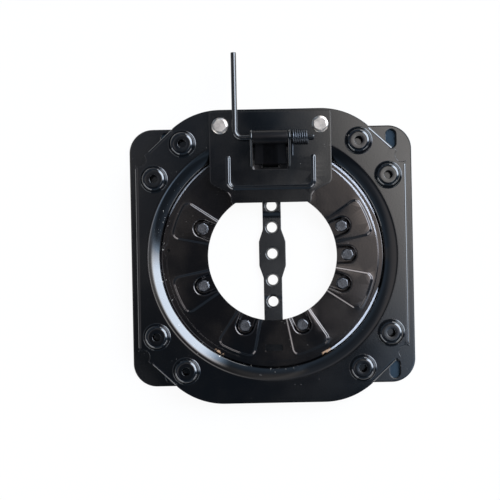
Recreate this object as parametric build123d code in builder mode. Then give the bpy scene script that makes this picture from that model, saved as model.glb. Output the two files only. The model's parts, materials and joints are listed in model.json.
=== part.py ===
"""Swivel seat base for a camper seat, in millimetres.

A pressed base plate carries a turntable on glide pads. A clamp disc, bolted to the base's
plateau, holds the turntable down, and a spring-loaded pawl on the turntable drops into the disc.
+Z is up, +Y runs towards the release lever, and the origin is on the swivel axis at the
underside of the base plate.
"""

from build123d import *
import os
from math import atan2, cos, degrees, hypot, pi, radians, sin, tan

# Sheet gauges
base_sheet = 2.5
turntable_sheet = 2.5
disc_sheet = 2.5
latch_sheet = 3.0
strap_sheet = 2.5
glide_sheet = 1.5

# Gaps between pieces
running_gap = 0.3  # between faces that turn against each other
hole_gap = 0.5  # round a bolt in its hole
pass_gap = 4.7  # from the clamp disc's highest point up to the latch plate
pawl_gap = 0.8  # from the clamp disc up to the pawl's tip when it is drawn

# Rings, from the central opening outwards
opening_radius = 82.0
clamp_bolt_inset = 13.6  # opening edge to the clamp bolts
lock_inset = 35.0  # opening edge to the middle of the lock slots
lip_inset = 5.0  # lock slot's middle to the turntable's inner edge
lip_width = 20.0  # flat inner lip of the turntable
dish_run = 11.5  # sloping wall of the turntable's dish
rim_gap = 1.0  # clamp disc's rim to the foot of the dish
glide_width = 13.0
glide_half_angle = 9.0  # of one glide pad
plateau_margin = 4.0  # base's plateau beyond the foot of the dish
plateau_run = 6.0
plateau_rise = 8.0

# Base plate
base_overhang = 8.0  # beyond the turntable's sides
base_setback = 22.5  # inside the turntable's ends
base_corner = 30.0
plateau_land = 6.0  # flat sheet round the plateau's foot
slot_width = 12.7
slot_length = 24.0
slot_land = 5.0  # sheet left between a slot and the plate's edge
slot_inset_left = 47.0
slot_inset_right = 26.0

# Turntable
side_margin = 18.5  # dish to the straight sides
end_margin = 33.0  # dish to the straight ends
corner_cut_x = 72.7
corner_cut_y = 66.7
corner_round = 93.0
relief_radius = 8.5
relief_overlap = 1.0  # of the notch past the corner
lip_depth = 10.0  # turned-down edges
lip_land = 3.0  # from a lip's end to the relief notch
edge_bend = 2.2
dish_bend = 2.5  # half width of the flat that breaks the dish's upper bend

# Seat bosses
boss_spacing_near = (224.0, 288.6)
boss_spacing_wide = (297.2, 200.2)
boss_base_radius = 17.0
boss_top_radius = 13.3
boss_height = 7.0
boss_hole_radius = 5.25

# Clamp disc
sector_count = 8
sector_half_angle = 11.2
sector_length = 48.0  # outwards from the opening
sector_rise = 2.0
sector_corner = 8.0
sector_wall = 1.5  # step round the hollow under a sector
pocket_half_width = 10.3
pocket_wall = 1.6
lock_slot_width = 22.0
lock_slot_depth = 9.0
grease_hole_radius = 2.0
grease_hole_angle = 176.0

# M8 clamp bolts and nuts
clamp_bolt_radius = 4.0
clamp_head_flats = 13.0
clamp_head_height = 5.3
clamp_nut_height = 6.5
clamp_bolt_tail = 0.5  # past the nut

# M10 latch bolts and nuts
latch_bolt_radius = 5.0
latch_head_flats = 16.0
latch_head_height = 6.5
latch_flange_radius = 10.5
latch_flange_height = 2.0
latch_nut_height = 8.0
latch_bolt_tail = 1.5
latch_bolt_spacing = 127.0
latch_bolt_inset = 20.5  # from the turntable's end

# Latch plate
latch_half_width = 77.3
latch_back = 2.5  # inside the turntable's end
nose_overhang = 14.2  # over the central opening
nose_half_width = 51.0
neck_length = 12.2
shoulder_length = 25.2
shoulder_round = 8.0
nose_round = 3.0
bead_half_span = 54.0
bead_setback = 19.2  # from the nose's edge
bead_leg = 38.0
bead_width = 6.0
bead_height = 1.8
bead_round = 0.9
bead_corner = 8.0
window_back = 25.0  # window's rear edge, outwards from the lock slot's middle
window_front = 7.0  # window's front edge, inwards from it
ear_span = 45.4
ear_radius = 10.0
ear_foot = 3.0
ear_front = 37.0  # ear's front end, inwards from the shaft
shaft_reach = 33.0  # lock slot's middle to the shaft
shaft_rise = 11.0  # latch plate's top to the shaft

# Release lever, one bent rod
rod_radius = 3.5
lever_offset = 44.5
lever_reach = 108.0
shaft_end = 55.7
elbow_radius = 9.0
rod_chamfer = 0.8

# Lock pawl
barrel_radius = 9.0
barrel_side_gap = 0.6
pawl_weld_gap = 0.05
blade_thickness = 5.0
blade_width = 40.0
blade_rise = 4.6  # bend's height over the turntable
tooth_width = 20.0
tooth_slant = 3.5

# Return spring
spring_wire = 2.5
spring_mean_radius = 8.2
spring_turns = 7
spring_pitch = 2.75
spring_facets = 10  # straight runs in a turn
spring_start_gap = 2.3  # ear to the first turn
spring_leg = 24.0
spring_seat_gap = 0.15  # from the legs' ends to the latch plate and the rod

# Cross strap
strap_width = 23.5
strap_wide = 34.0
strap_wide_length = 31.0
strap_taper_length = 15.5
strap_shift = 3.0  # of the wide part and the holes along +Y
strap_hole_radius = 7.2
strap_hole_pitch = 33.5
strap_end_pitch = 27.5
strap_seat = 24.0  # under the base plate's plateau
strap_drop = 3.0
strap_joggle = 6.0
strap_joggle_inset = 26.0  # opening edge to the joggle

# Radii of the rings
clamp_circle = opening_radius + clamp_bolt_inset
lock_radius = opening_radius + lock_inset
lip_radius = lock_radius + lip_inset
dish_foot_radius = lip_radius + lip_width
dish_top_radius = dish_foot_radius + dish_run
rim_radius = dish_foot_radius - rim_gap
glide_radius = lip_radius + lip_width / 2
plateau_radius = dish_foot_radius + plateau_margin
plateau_foot_radius = plateau_radius + plateau_run
sector_radius = opening_radius + sector_length

# Levels, from the floor up
plateau_top = base_sheet + plateau_rise
plateau_bottom = plateau_top - base_sheet
pocket_floor = plateau_top + disc_sheet
lip_bottom = plateau_top + glide_sheet + running_gap
lip_top = lip_bottom + turntable_sheet
disc_bottom = lip_top + running_gap + glide_sheet
disc_top = disc_bottom + disc_sheet
sector_top = disc_top + sector_rise
turntable_top = max(sector_top, pocket_floor + clamp_head_height) + pass_gap
turntable_bottom = turntable_top - turntable_sheet
boss_top = turntable_top + boss_height
latch_top = turntable_top + latch_sheet
shaft_z = latch_top + shaft_rise
tip_z = sector_top + pawl_gap

# Plan sizes
half_width = dish_top_radius + side_margin
half_depth = dish_top_radius + end_margin
base_width = 2 * (half_width + base_overhang)
base_depth = 2 * (half_depth - base_setback)
slot_x_left = slot_inset_left - base_width / 2
slot_x_right = base_width / 2 - slot_inset_right
slot_y = base_depth / 2 - slot_land - slot_length / 2
nose_y = opening_radius - nose_overhang
latch_back_y = half_depth - latch_back
latch_bolt_y = half_depth - latch_bolt_inset
shaft_y = lock_radius + shaft_reach
ear_middle = (ear_span + latch_sheet) / 2
clamp_angles = [360 / sector_count * (k + 0.5) for k in range(sector_count)] + [0.0]
corner_angle = degrees(atan2(corner_cut_y, corner_cut_x))
corner_line = hypot(corner_cut_x, corner_cut_y)
corner_tangent = corner_round * tan(radians(corner_angle / 2))


def sheet_section(plane, points, gauge):
    """Draws a bent sheet's section: a line through the points, thickened to the line's right.

    The second line is a gauge away all along: at a bend with unit normals a and b it passes
    through the point gauge * (a + b) / (1 + a.b) from the first.
    """
    line = [Vector(*point) for point in points]
    runs = [(end - start).normalized() for start, end in zip(line, line[1:])]
    normals = [Vector(run.Y, -run.X) for run in runs]
    befores = normals[:1] + normals
    afters = normals + normals[-1:]
    second = [
        point + (a + b) * (gauge / (1 + a.dot(b))) for point, a, b in zip(line, befores, afters)
    ]
    with BuildSketch(plane) as section:
        with BuildLine():
            Polyline(*line, *second[::-1], close=True)
        make_face()
    return section.sketch


def hex_fastener(places, flats, height, level):
    """Adds a hexagonal prism of the given width across flats at each place."""
    with BuildSketch(Plane.XY.offset(level)) as heads:
        with Locations(*places):
            RegularPolygon(flats / 2, 6, major_radius=False)
    extrude(heads.sketch, amount=height)


def round_bars(places, radius, low, high, mode=Mode.ADD):
    """Adds or cuts an upright cylinder between two levels at each place."""
    with BuildSketch(Plane.XY.offset(low)) as ends:
        with Locations(*places):
            Circle(radius)
    extrude(ends.sketch, amount=high - low, mode=mode)


def polar_places(radius, angles):
    """Points on a circle about the swivel axis."""
    return [(radius * cos(radians(a)), radius * sin(radians(a))) for a in angles]


def ring_sector(inner_radius, outer_radius, half_angle):
    """Draws the part of a flat ring that lies within the half angle of the X axis."""
    angles = (-half_angle, 0, half_angle)
    inner = polar_places(inner_radius, angles)
    outer = polar_places(outer_radius, angles)
    with BuildSketch() as ring:
        with BuildLine():
            ThreePointArc(*inner)
            Line(inner[2], outer[2])
            ThreePointArc(*outer[::-1])
            Line(outer[0], inner[0])
        make_face()
    return ring.sketch


def clamp_tongues(level, half_width, height, mode):
    """Adds or cuts each bolt pocket's tongue, round the bolt and open to the opening."""
    reach = 2 * clamp_bolt_inset
    for angle in clamp_angles:
        with BuildSketch(Plane.XY.offset(level).rotated((0, 0, angle))) as tongue:
            with Locations((clamp_circle - reach / 2, 0)):
                SlotCenterToCenter(reach, 2 * half_width)
        extrude(tongue.sketch, amount=height, mode=mode)


clamp_places = polar_places(clamp_circle, clamp_angles)
latch_bolt_places = [(side * latch_bolt_spacing / 2, latch_bolt_y) for side in (-1, 1)]
boss_places = [
    (x * spacing[0] / 2, y * spacing[1] / 2)
    for spacing in (boss_spacing_near, boss_spacing_wide)
    for x in (-1, 1)
    for y in (-1, 1)
]

# Base plate: flat sheet round a raised plateau, with a slot near each corner
with BuildPart() as base_plate:
    plateau_join = plateau_foot_radius + plateau_land
    with BuildSketch():
        RectangleRounded(base_width, base_depth, base_corner)
        Circle(plateau_join, mode=Mode.SUBTRACT)
        with Locations(*[(x, y) for x in (slot_x_left, slot_x_right) for y in (-slot_y, slot_y)]):
            SlotOverall(slot_length, slot_width, rotation=90, mode=Mode.SUBTRACT)
    extrude(amount=base_sheet)
    plateau = sheet_section(
        Plane.XZ,
        [
            (opening_radius, plateau_top),
            (plateau_radius, plateau_top),
            (plateau_foot_radius, base_sheet),
            (plateau_join, base_sheet),
        ],
        base_sheet,
    )
    revolve(plateau, axis=Axis.Z)
    round_bars(clamp_places, clamp_bolt_radius + hole_gap, plateau_bottom, plateau_top, Mode.SUBTRACT)

# Glide pads: the lower ones carry the turntable's lip, the upper ones hold it down
glide_pad = ring_sector(
    glide_radius - glide_width / 2, glide_radius + glide_width / 2, glide_half_angle
)
sector_turns = PolarLocations(0, sector_count, start_angle=180 / sector_count)

with BuildPart() as lower_glide_pads:
    with BuildSketch(Plane.XY.offset(plateau_top)):
        with sector_turns:
            add(glide_pad)
    extrude(amount=glide_sheet)

with BuildPart() as upper_glide_pads:
    with BuildSketch(Plane.XY.offset(disc_bottom)):
        with sector_turns:
            add(glide_pad)
    extrude(amount=-glide_sheet)

# Turntable: lipped sheet with a dished ring and eight seat bosses
dish_join = dish_top_radius + 2 * dish_bend
dish_slope = (turntable_top - lip_top) / dish_run
relief_length = 2 * relief_radius - relief_overlap
corner_lip_start = relief_length + lip_land
corner_lip_end = corner_line - corner_tangent
relief_place, corner_lip_place = [
    (half_width - corner_cut_x * share, half_depth - corner_cut_y * (1 - share))
    for share in (
        (relief_radius - relief_overlap) / corner_line,
        (corner_lip_start + corner_lip_end) / 2 / corner_line,
    )
]

with BuildSketch() as turntable_outline:
    with BuildLine():
        Polyline(
            (0, 0),
            (half_width, 0),
            (half_width, half_depth - corner_cut_y),
            (half_width - corner_cut_x, half_depth),
            (0, half_depth),
            close=True,
        )
    make_face()
    fillet(turntable_outline.vertices().group_by(Axis.Y)[-1].sort_by(Axis.X)[-1], corner_round)
    with Locations(relief_place):
        Circle(relief_radius, mode=Mode.SUBTRACT)
    mirror(about=Plane.YZ)
    mirror(about=Plane.XZ)

with BuildSketch() as lip_zones:
    with Locations(corner_lip_place):
        Rectangle(corner_lip_end - corner_lip_start, corner_line / 2, rotation=-corner_angle)
    mirror(about=Plane.YZ)
    mirror(about=Plane.XZ)
    side_lip_end = half_depth - corner_cut_y - lip_land
    Rectangle(2 * (half_width + lip_land), 2 * side_lip_end)

with BuildPart() as turntable_plate:
    with BuildSketch(Plane.XY.offset(turntable_bottom)):
        add(turntable_outline.sketch)
        Circle(dish_join, mode=Mode.SUBTRACT)
    extrude(amount=turntable_sheet)
    with BuildSketch(Plane.XY.offset(turntable_bottom)):
        add(turntable_outline.sketch)
        offset(amount=-turntable_sheet, mode=Mode.SUBTRACT)
        add(lip_zones.sketch, mode=Mode.INTERSECT)
    extrude(amount=-lip_depth)
    top_edges = turntable_plate.edges().filter_by(GeomType.LINE).group_by(Axis.Z)[-1]
    fillet(top_edges.filter_by(lambda e: abs(e.center().X) > half_width - edge_bend), edge_bend)
    dish = sheet_section(
        Plane.XZ,
        [
            (lip_radius, lip_top),
            (dish_foot_radius, lip_top),
            (dish_top_radius - dish_bend, turntable_top - dish_bend * dish_slope),
            (dish_top_radius + dish_bend, turntable_top),
            (dish_join, turntable_top),
        ],
        turntable_sheet,
    )
    revolve(dish, axis=Axis.Z)
    with Locations(*[(x, y, turntable_top + boss_height / 2) for x, y in boss_places]):
        Cone(boss_base_radius, boss_top_radius, boss_height)
    with Locations(*[(x, y, turntable_bottom + boss_height / 2) for x, y in boss_places]):
        Cylinder(boss_top_radius - turntable_sheet, boss_height, mode=Mode.SUBTRACT)
    round_bars(boss_places, boss_hole_radius, turntable_bottom, boss_top, Mode.SUBTRACT)
    round_bars(
        latch_bolt_places,
        latch_bolt_radius + hole_gap,
        turntable_bottom,
        turntable_top,
        Mode.SUBTRACT,
    )

# Clamp disc: raised sectors with a bolt pocket each, one pocket between two of them, lock slots
with BuildSketch() as sector:
    add(ring_sector(opening_radius - clamp_bolt_inset, sector_radius, sector_half_angle))
    fillet(sector.vertices().group_by(Axis.X)[-1], sector_corner)

with BuildPart() as clamp_disc:
    with BuildSketch(Plane.XY.offset(disc_bottom)):
        Circle(rim_radius)
    extrude(amount=disc_sheet)
    with BuildSketch(Plane.XY.offset(disc_top)):
        with sector_turns:
            add(sector.sketch)
    extrude(amount=sector_rise)
    with BuildSketch(Plane.XY.offset(disc_bottom)):
        with sector_turns:
            add(sector.sketch)
        offset(amount=-sector_wall, mode=Mode.REPLACE)
    extrude(amount=sector_rise, mode=Mode.SUBTRACT)

    clamp_tongues(plateau_top, pocket_half_width + pocket_wall, disc_top - plateau_top, Mode.ADD)
    clamp_tongues(pocket_floor, pocket_half_width, sector_top - pocket_floor, Mode.SUBTRACT)
    round_bars([(0, 0)], opening_radius, plateau_top, sector_top, Mode.SUBTRACT)
    round_bars(clamp_places, clamp_bolt_radius + hole_gap, plateau_top, pocket_floor, Mode.SUBTRACT)

    with BuildSketch(Plane.XY.offset(disc_bottom)):
        with Locations((0, lock_radius), (0, -lock_radius)):
            Rectangle(lock_slot_width, lock_slot_depth)
    extrude(amount=disc_sheet, mode=Mode.SUBTRACT)
    grease_place = polar_places(glide_radius, [grease_hole_angle])
    round_bars(grease_place, grease_hole_radius, disc_bottom, disc_top, Mode.SUBTRACT)

# Clamp bolts: hex heads in the pockets, shanks through the disc and the base plate
with BuildPart() as clamp_bolts:
    hex_fastener(clamp_places, clamp_head_flats, clamp_head_height, pocket_floor)
    nut_bottom = plateau_bottom - clamp_nut_height
    round_bars(clamp_places, clamp_bolt_radius, nut_bottom - clamp_bolt_tail, pocket_floor)

# Clamp nuts: under the base plate's plateau
with BuildPart() as clamp_nuts:
    hex_fastener(clamp_places, clamp_head_flats, clamp_nut_height, nut_bottom)
    round_bars(clamp_places, clamp_bolt_radius, nut_bottom, plateau_bottom, Mode.SUBTRACT)

# Cross strap: holed strap under the opening, its joggled ends welded under the plateau
with BuildPart() as cross_strap:
    strap_end = opening_radius + strap_seat
    joggle_outer = opening_radius - strap_joggle_inset
    joggle_inner = joggle_outer - strap_joggle
    strap_top = plateau_bottom - strap_drop
    half_line = [
        (strap_end, plateau_bottom),
        (joggle_outer, plateau_bottom),
        (joggle_inner, strap_top),
    ]
    strap_line = [(-y, z) for y, z in half_line] + half_line[::-1]
    extrude(
        sheet_section(Plane.YZ, strap_line, strap_sheet),
        amount=strap_wide / 2,
        both=True,
    )
    wide_half = strap_wide_length / 2
    with BuildSketch() as strap_plan:
        with BuildLine():
            Polyline(
                (0, strap_end),
                (strap_width / 2, strap_end),
                (strap_width / 2, strap_shift + wide_half + strap_taper_length),
                (strap_wide / 2, strap_shift + wide_half),
                (strap_wide / 2, strap_shift - wide_half),
                (strap_width / 2, strap_shift - wide_half - strap_taper_length),
                (strap_width / 2, -strap_end),
                (0, -strap_end),
                close=True,
            )
        make_face()
        mirror(about=Plane.YZ)
        end_hole = strap_hole_pitch + strap_end_pitch
        hole_offsets = (-end_hole, -strap_hole_pitch, 0, strap_hole_pitch, end_hole)
        with Locations(*[(0, strap_shift + y) for y in hole_offsets]):
            Circle(strap_hole_radius, mode=Mode.SUBTRACT)
    extrude(strap_plan.sketch, amount=plateau_bottom, mode=Mode.INTERSECT)

# Latch plate: waisted plate with a U-shaped bead, a window and two ears bent up beside it
with BuildPart() as latch_plate:
    with BuildSketch(Plane.XY.offset(turntable_top)) as latch_outline:
        with BuildLine():
            Polyline(
                (0, nose_y),
                (nose_half_width, nose_y),
                (nose_half_width, nose_y + neck_length),
                (latch_half_width, nose_y + shoulder_length),
                (latch_half_width, latch_back_y),
                (0, latch_back_y),
                close=True,
            )
        make_face()
        corners = latch_outline.vertices().filter_by(lambda v: v.X > nose_round).sort_by(Axis.Y)
        fillet(corners[1:3], shoulder_round)
        ends = latch_outline.vertices().filter_by(lambda v: v.X > nose_round).sort_by(Axis.Y)
        fillet([ends[0], ends[-1]], nose_round)
        mirror(about=Plane.YZ)
        with Locations((0, lock_radius + (window_back - window_front) / 2)):
            Rectangle(ear_span, window_back + window_front, mode=Mode.SUBTRACT)
        with Locations(*latch_bolt_places):
            Circle(latch_bolt_radius + hole_gap, mode=Mode.SUBTRACT)
    extrude(amount=latch_sheet)

    with BuildLine() as bead_line:
        bead_y = nose_y + bead_setback
        FilletPolyline(
            (-bead_half_span, bead_y + bead_leg),
            (-bead_half_span, bead_y),
            (bead_half_span, bead_y),
            (bead_half_span, bead_y + bead_leg),
            radius=bead_corner,
        )
    with BuildSketch(Plane.XY.offset(latch_top)):
        trace(bead_line.line, bead_width)
    extrude(amount=bead_height)
    chamfer(latch_plate.faces().sort_by(Axis.Z)[-1].edges(), bead_round)
    with BuildSketch(Plane.XY.offset(turntable_top)):
        trace(bead_line.line, bead_width - 2 * bead_height)
    extrude(amount=bead_height, mode=Mode.SUBTRACT)
    for side in (-1, 1):
        with BuildSketch(Plane.YZ.offset(side * ear_middle)):
            with Locations((shaft_y, shaft_z)):
                Circle(ear_radius)
            with Locations((shaft_y + ear_radius, turntable_top)):
                Rectangle(ear_radius + ear_front, latch_sheet + ear_foot, align=(Align.MAX, Align.MIN))
            make_hull()
            with Locations((shaft_y, shaft_z)):
                Circle(rod_radius + running_gap, mode=Mode.SUBTRACT)
        extrude(amount=latch_sheet / 2, both=True)

# Latch bolts: zinc flange bolts through the latch plate and the turntable
with BuildPart() as latch_bolts:
    round_bars(latch_bolt_places, latch_flange_radius, latch_top, latch_top + latch_flange_height)
    hex_fastener(latch_bolt_places, latch_head_flats, latch_head_height, latch_top + latch_flange_height)
    latch_nut_bottom = turntable_bottom - latch_nut_height
    round_bars(latch_bolt_places, latch_bolt_radius, latch_nut_bottom - latch_bolt_tail, latch_top)

# Latch nuts: under the turntable
with BuildPart() as latch_nuts:
    hex_fastener(latch_bolt_places, latch_head_flats, latch_nut_height, latch_nut_bottom)
    round_bars(latch_bolt_places, latch_bolt_radius, latch_nut_bottom, turntable_bottom, Mode.SUBTRACT)

# Release lever: one rod, bent from the shaft into the handle
with BuildPart() as release_lever:
    with BuildLine() as rod_line:
        FilletPolyline(
            (shaft_end, shaft_y, shaft_z),
            (-lever_offset, shaft_y, shaft_z),
            (-lever_offset, shaft_y + lever_reach, shaft_z),
            radius=elbow_radius,
        )
    with BuildSketch(Plane(origin=rod_line.line @ 0, z_dir=rod_line.line % 0)):
        Circle(rod_radius)
    sweep(path=rod_line.line)
    rod_ends = release_lever.faces().filter_by(GeomType.PLANE)
    chamfer(rod_ends.edges(), rod_chamfer)

# Lock pawl: barrel welded on the shaft, with a blade bent down into a tooth
with BuildPart() as lock_pawl:
    blade_line = [
        (shaft_y - rod_radius, shaft_z - rod_radius / 2),
        (lock_radius - running_gap, turntable_top + blade_rise),
    ]
    tooth_line = blade_line + [(blade_line[1][0] - tooth_slant, tip_z)]
    with BuildSketch(Plane.YZ):
        with Locations((shaft_y, shaft_z)):
            Circle(barrel_radius)
    extrude(amount=ear_span / 2 - barrel_side_gap, both=True)
    extrude(
        sheet_section(Plane.YZ, tooth_line[::-1], blade_thickness),
        amount=tooth_width / 2,
        both=True,
    )
    split(bisect_by=Plane.XY.offset(tip_z), keep=Keep.TOP)
    extrude(
        sheet_section(Plane.YZ, blade_line[::-1], blade_thickness),
        amount=blade_width / 2,
        both=True,
    )
    with BuildSketch(Plane.YZ):
        with Locations((shaft_y, shaft_z)):
            Circle(rod_radius + pawl_weld_gap)
    extrude(amount=ear_span / 2, both=True, mode=Mode.SUBTRACT)

# Return spring: coil round the shaft, one leg on the latch plate and one hooked to the rod
with BuildPart() as return_spring:
    coil_start = ear_middle + latch_sheet / 2 + spring_start_gap
    coil_steps = spring_turns * spring_facets
    coil_points = [
        (
            coil_start + spring_pitch * step / spring_facets,
            shaft_y + spring_mean_radius * sin(2 * pi * step / spring_facets),
            shaft_z - spring_mean_radius * cos(2 * pi * step / spring_facets),
        )
        for step in range(coil_steps + 1)
    ]
    wire_radius = spring_wire / 2
    seat_z = latch_top + wire_radius + spring_seat_gap
    seat_leg = (coil_start, shaft_y - spring_leg, seat_z)
    hook_leg = (coil_points[-1][0], shaft_y, shaft_z - rod_radius - spring_seat_gap)
    with BuildLine() as coil_line:
        Polyline(seat_leg, *coil_points, hook_leg)
    with BuildSketch(Plane(origin=coil_line.line @ 0, z_dir=coil_line.line % 0)):
        RegularPolygon(wire_radius, 6)
    sweep(path=coil_line.line, transition=Transition.RIGHT)

pieces = {
    "base_plate": base_plate,
    "lower_glide_pads": lower_glide_pads,
    "upper_glide_pads": upper_glide_pads,
    "turntable_plate": turntable_plate,
    "clamp_disc": clamp_disc,
    "clamp_bolts": clamp_bolts,
    "clamp_nuts": clamp_nuts,
    "cross_strap": cross_strap,
    "latch_plate": latch_plate,
    "latch_bolts": latch_bolts,
    "latch_nuts": latch_nuts,
    "release_lever": release_lever,
    "lock_pawl": lock_pawl,
    "return_spring": return_spring,
}
os.makedirs("parts", exist_ok=True)
for name, piece in pieces.items():
    piece.part.label = name
    export_step(piece.part, f"parts/{name}.step")
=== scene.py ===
"""Looks of a swivel seat base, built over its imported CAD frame.

Each pressed sheet is a smooth surface: flat fills between outlines, with rounded profiles carried
along those outlines. Lengths are in metres, in the frame's own axes, with +Z up.
"""

import json

import bmesh
import bpy
import numpy as np
from bpy.props import FloatProperty, FloatVectorProperty, IntProperty, PointerProperty
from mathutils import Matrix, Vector
from mathutils.geometry import delaunay_2d_cdt


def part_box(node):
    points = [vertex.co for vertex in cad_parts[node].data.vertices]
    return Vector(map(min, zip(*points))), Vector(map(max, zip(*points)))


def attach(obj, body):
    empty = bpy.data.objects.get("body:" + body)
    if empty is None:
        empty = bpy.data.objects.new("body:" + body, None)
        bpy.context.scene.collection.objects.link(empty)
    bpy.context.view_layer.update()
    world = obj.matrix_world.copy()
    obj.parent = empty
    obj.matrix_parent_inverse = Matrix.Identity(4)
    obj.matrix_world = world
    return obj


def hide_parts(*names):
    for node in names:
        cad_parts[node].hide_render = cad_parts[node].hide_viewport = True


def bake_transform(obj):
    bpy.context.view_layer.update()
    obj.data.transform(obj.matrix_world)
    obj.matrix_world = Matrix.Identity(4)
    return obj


bl_info = {
    "name": "Swivel Seat Base",
    "version": (1, 0, 0),
    "blender": (4, 5, 0),
    "location": "View3D > Sidebar > Swivel Base",
    "description": "Dresses the swivel seat base and sets its studio",
    "category": "Object",
}

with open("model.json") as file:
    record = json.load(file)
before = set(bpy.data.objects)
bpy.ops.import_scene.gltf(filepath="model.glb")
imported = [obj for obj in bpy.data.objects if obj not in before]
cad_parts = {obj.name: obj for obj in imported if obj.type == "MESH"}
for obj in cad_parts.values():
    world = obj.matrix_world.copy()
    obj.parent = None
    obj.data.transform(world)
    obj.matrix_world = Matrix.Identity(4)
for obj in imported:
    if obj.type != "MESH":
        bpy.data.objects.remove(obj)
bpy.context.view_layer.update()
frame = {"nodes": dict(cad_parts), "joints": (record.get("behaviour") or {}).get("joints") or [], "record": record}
MOUNTS = {mount["name"]: mount for mount in frame["record"]["mounts"]}
PULL = next(joint for joint in frame["joints"] if joint["name"] == "latch_pull")
MM = 0.001

# Levels, read from the frame
GAUGE = 2.5 * MM
BASE_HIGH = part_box("base_plate")[1]
TABLE_LOW, TABLE_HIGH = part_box("turntable_plate")
DISC_LOW, DISC_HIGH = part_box("clamp_disc")
LATCH_LOW, LATCH_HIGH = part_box("latch_plate")
STRAP_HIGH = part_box("cross_strap")[1]
SPRING_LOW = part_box("return_spring")[0]
TABLE_TOP = LATCH_LOW.z
LIP_TOP = TABLE_LOW.z + GAUGE
PLATEAU_TOP = BASE_HIGH.z
POCKET_FLOOR = DISC_LOW.z + GAUGE
SECTOR_TOP = DISC_HIGH.z
SECTOR_RISE = 2.0 * MM
DISC_TOP = SECTOR_TOP - SECTOR_RISE
LATCH_GAUGE = 3.0 * MM
LATCH_TOP = TABLE_TOP + LATCH_GAUGE
SHAFT = Vector(PULL["pos_m"])

# Rings about the swivel axis
RING_STEPS = 256
OPENING = 82.0 * MM
CLAMP_CIRCLE = 95.6 * MM
LOCK_CIRCLE = 117.0 * MM
GREASE_CIRCLE = 132.0 * MM
RIM = DISC_HIGH.x
DISH_START = 160.9 * MM
DISH_TOP = 151.0 * MM
DISH_BROW = np.array((142.7, 20.4)) * MM
DISH_FOOT = 141.9 * MM
DISH_INNER = 122.0 * MM
PLATEAU_EDGE = 146.0 * MM
PLATEAU_FOOT = 152.0 * MM
PLATEAU_START = PLATEAU_FOOT + 6.0 * MM
PLATEAU_BEND = 5.0 * MM

# Base plate and turntable
CORNERS = np.array(((1, -1), (1, 1), (-1, 1), (-1, -1)))
BASE_CORNER = 30.0 * MM
BASE_MARGIN = 2.0 * MM
BASE_SLOT_MARGIN = 1.6 * MM
HALF_WIDTH = TABLE_HIGH.x
HALF_DEPTH = TABLE_HIGH.y
CORNER_CUT = np.array((72.7, 66.7)) * MM
CORNER_ROUND = 93.0 * MM
NOTCH_RADIUS = 8.5 * MM
NOTCH_SETBACK = 7.5 * MM
LIP_LAND = 5.0 * MM
LIP_DEPTH = 12.5 * MM
LIP_MARGIN = 1.2 * MM
TABLE_MARGIN = 0.8 * MM
BOSS_STEPS = 64
BOSS_START, BOSS_FOOT, BOSS_CROWN = np.array((17.9, 17.0, 13.3)) * MM

# Clamp disc
SECTORS = 8
SECTOR_TURNS = (np.arange(SECTORS) + 0.5) * 2.0 * np.pi / SECTORS
SECTOR_HALF_ANGLE = np.radians(11.2)
SECTOR_REACH = 130.0 * MM
SECTOR_CORNER = 8.0 * MM
SECTOR_OUTSIDE = 0.4
POCKET_WALL = 10.3 * MM + np.array((-2.6, -0.6, 1.1, 3.2)) * MM
POCKET_BENDS = np.array((1.6, 1.8)) * MM
LOCK_SLOT = np.array((22.0, 9.0)) * MM
LOCK_SLOT_CORNER = 1.2 * MM
GREASE_ANGLE = np.radians(176.0)
GREASE_RADIUS = 2.0 * MM
GREASE_JOG = 3.6 * MM
GREASE_SPREAD = np.radians(2.6)
HOLE_MARGIN = 0.9 * MM
RIM_STEPS = 360
RING_STEP = 134.6 * MM
RING_STEP_HALF = 0.5 * MM
RING_STEP_START = 1.4 * MM
RIM_BENDS = np.array((1.2, 0.8, 0.8)) * MM

# Marks in rings, as inputs of the shared effects
DISH_SCUFFS = {"Radius": DISH_FOOT + 4.0 * MM, "Width": 7.0 * MM, "Toward": (-0.62, -0.78, 0.0)}
DISH_SCUFFS |= {"Threshold": 0.64, "Scale": 180.0}
DISH_DUST = {"Radius": DISH_TOP - 3.0 * MM, "Width": 6.0 * MM, "Narrow": 0.93}
DISH_DUST |= {"Threshold": 0.67, "Scale": 480.0}
DISH_DUST_HEADING = 154.0
RIM_CHIPS = {"Radius": RIM - 1.0 * MM, "Width": 2.5 * MM, "Toward": (-0.99, 0.12, 0.0), "Narrow": 0.7}
RIM_CHIPS |= {"Threshold": 0.63, "Scale": 420.0}
SMEAR = {"Radius": RIM - 1.2 * MM, "Width": 2.6 * MM, "Narrow": 0.9985, "Threshold": 0.42}
SMEAR_HEADINGS = (-120.0, -61.5)

# Painted highlights on the clamp disc's rim, drawn as arcs of coat rubbed bright where the rim and the ring step
# would catch the light: inset, half width, heading, reach and share
PAINTED_HIGHLIGHT_ARCS = (
    (0.9, 2.2, -40.0, 23.0, 0.66),
    (0.9, 2.1, 42.0, 22.0, 0.64),
    (6.7, 1.3, 32.0, 24.0, 0.4),
    (0.4, 1.7, 140.0, 19.0, 0.26),
)

# Cross strap
STRAP_HALF_WIDTH = 11.75 * MM
STRAP_WIDE_HALF = 17.0 * MM
STRAP_SHIFT = 3.0 * MM
STRAP_WIDE_LENGTH = 15.5 * MM
STRAP_TAPER = 15.5 * MM
STRAP_ROUNDS = np.array((1.5, 9.0, 9.0, 9.0, 9.0, 1.5) * 2) * MM
STRAP_MARGIN = 1.2 * MM
STRAP_HOLES = np.array((-61.0, -33.5, 0.0, 33.5, 61.0)) * MM
STRAP_CLEAR = 11.0 * MM
STRAP_JOGGLE = np.array((50.0, 56.0)) * MM
STRAP_DROP = 3.0 * MM
FUNNEL = np.array(((9.7, 0.0), (8.3, 0.0), (6.4, -2.6), (6.3, -3.0))) * MM
FUNNEL_BENDS = (1.2 * MM, 0.0)
FUNNEL_STEPS = 48

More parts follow.
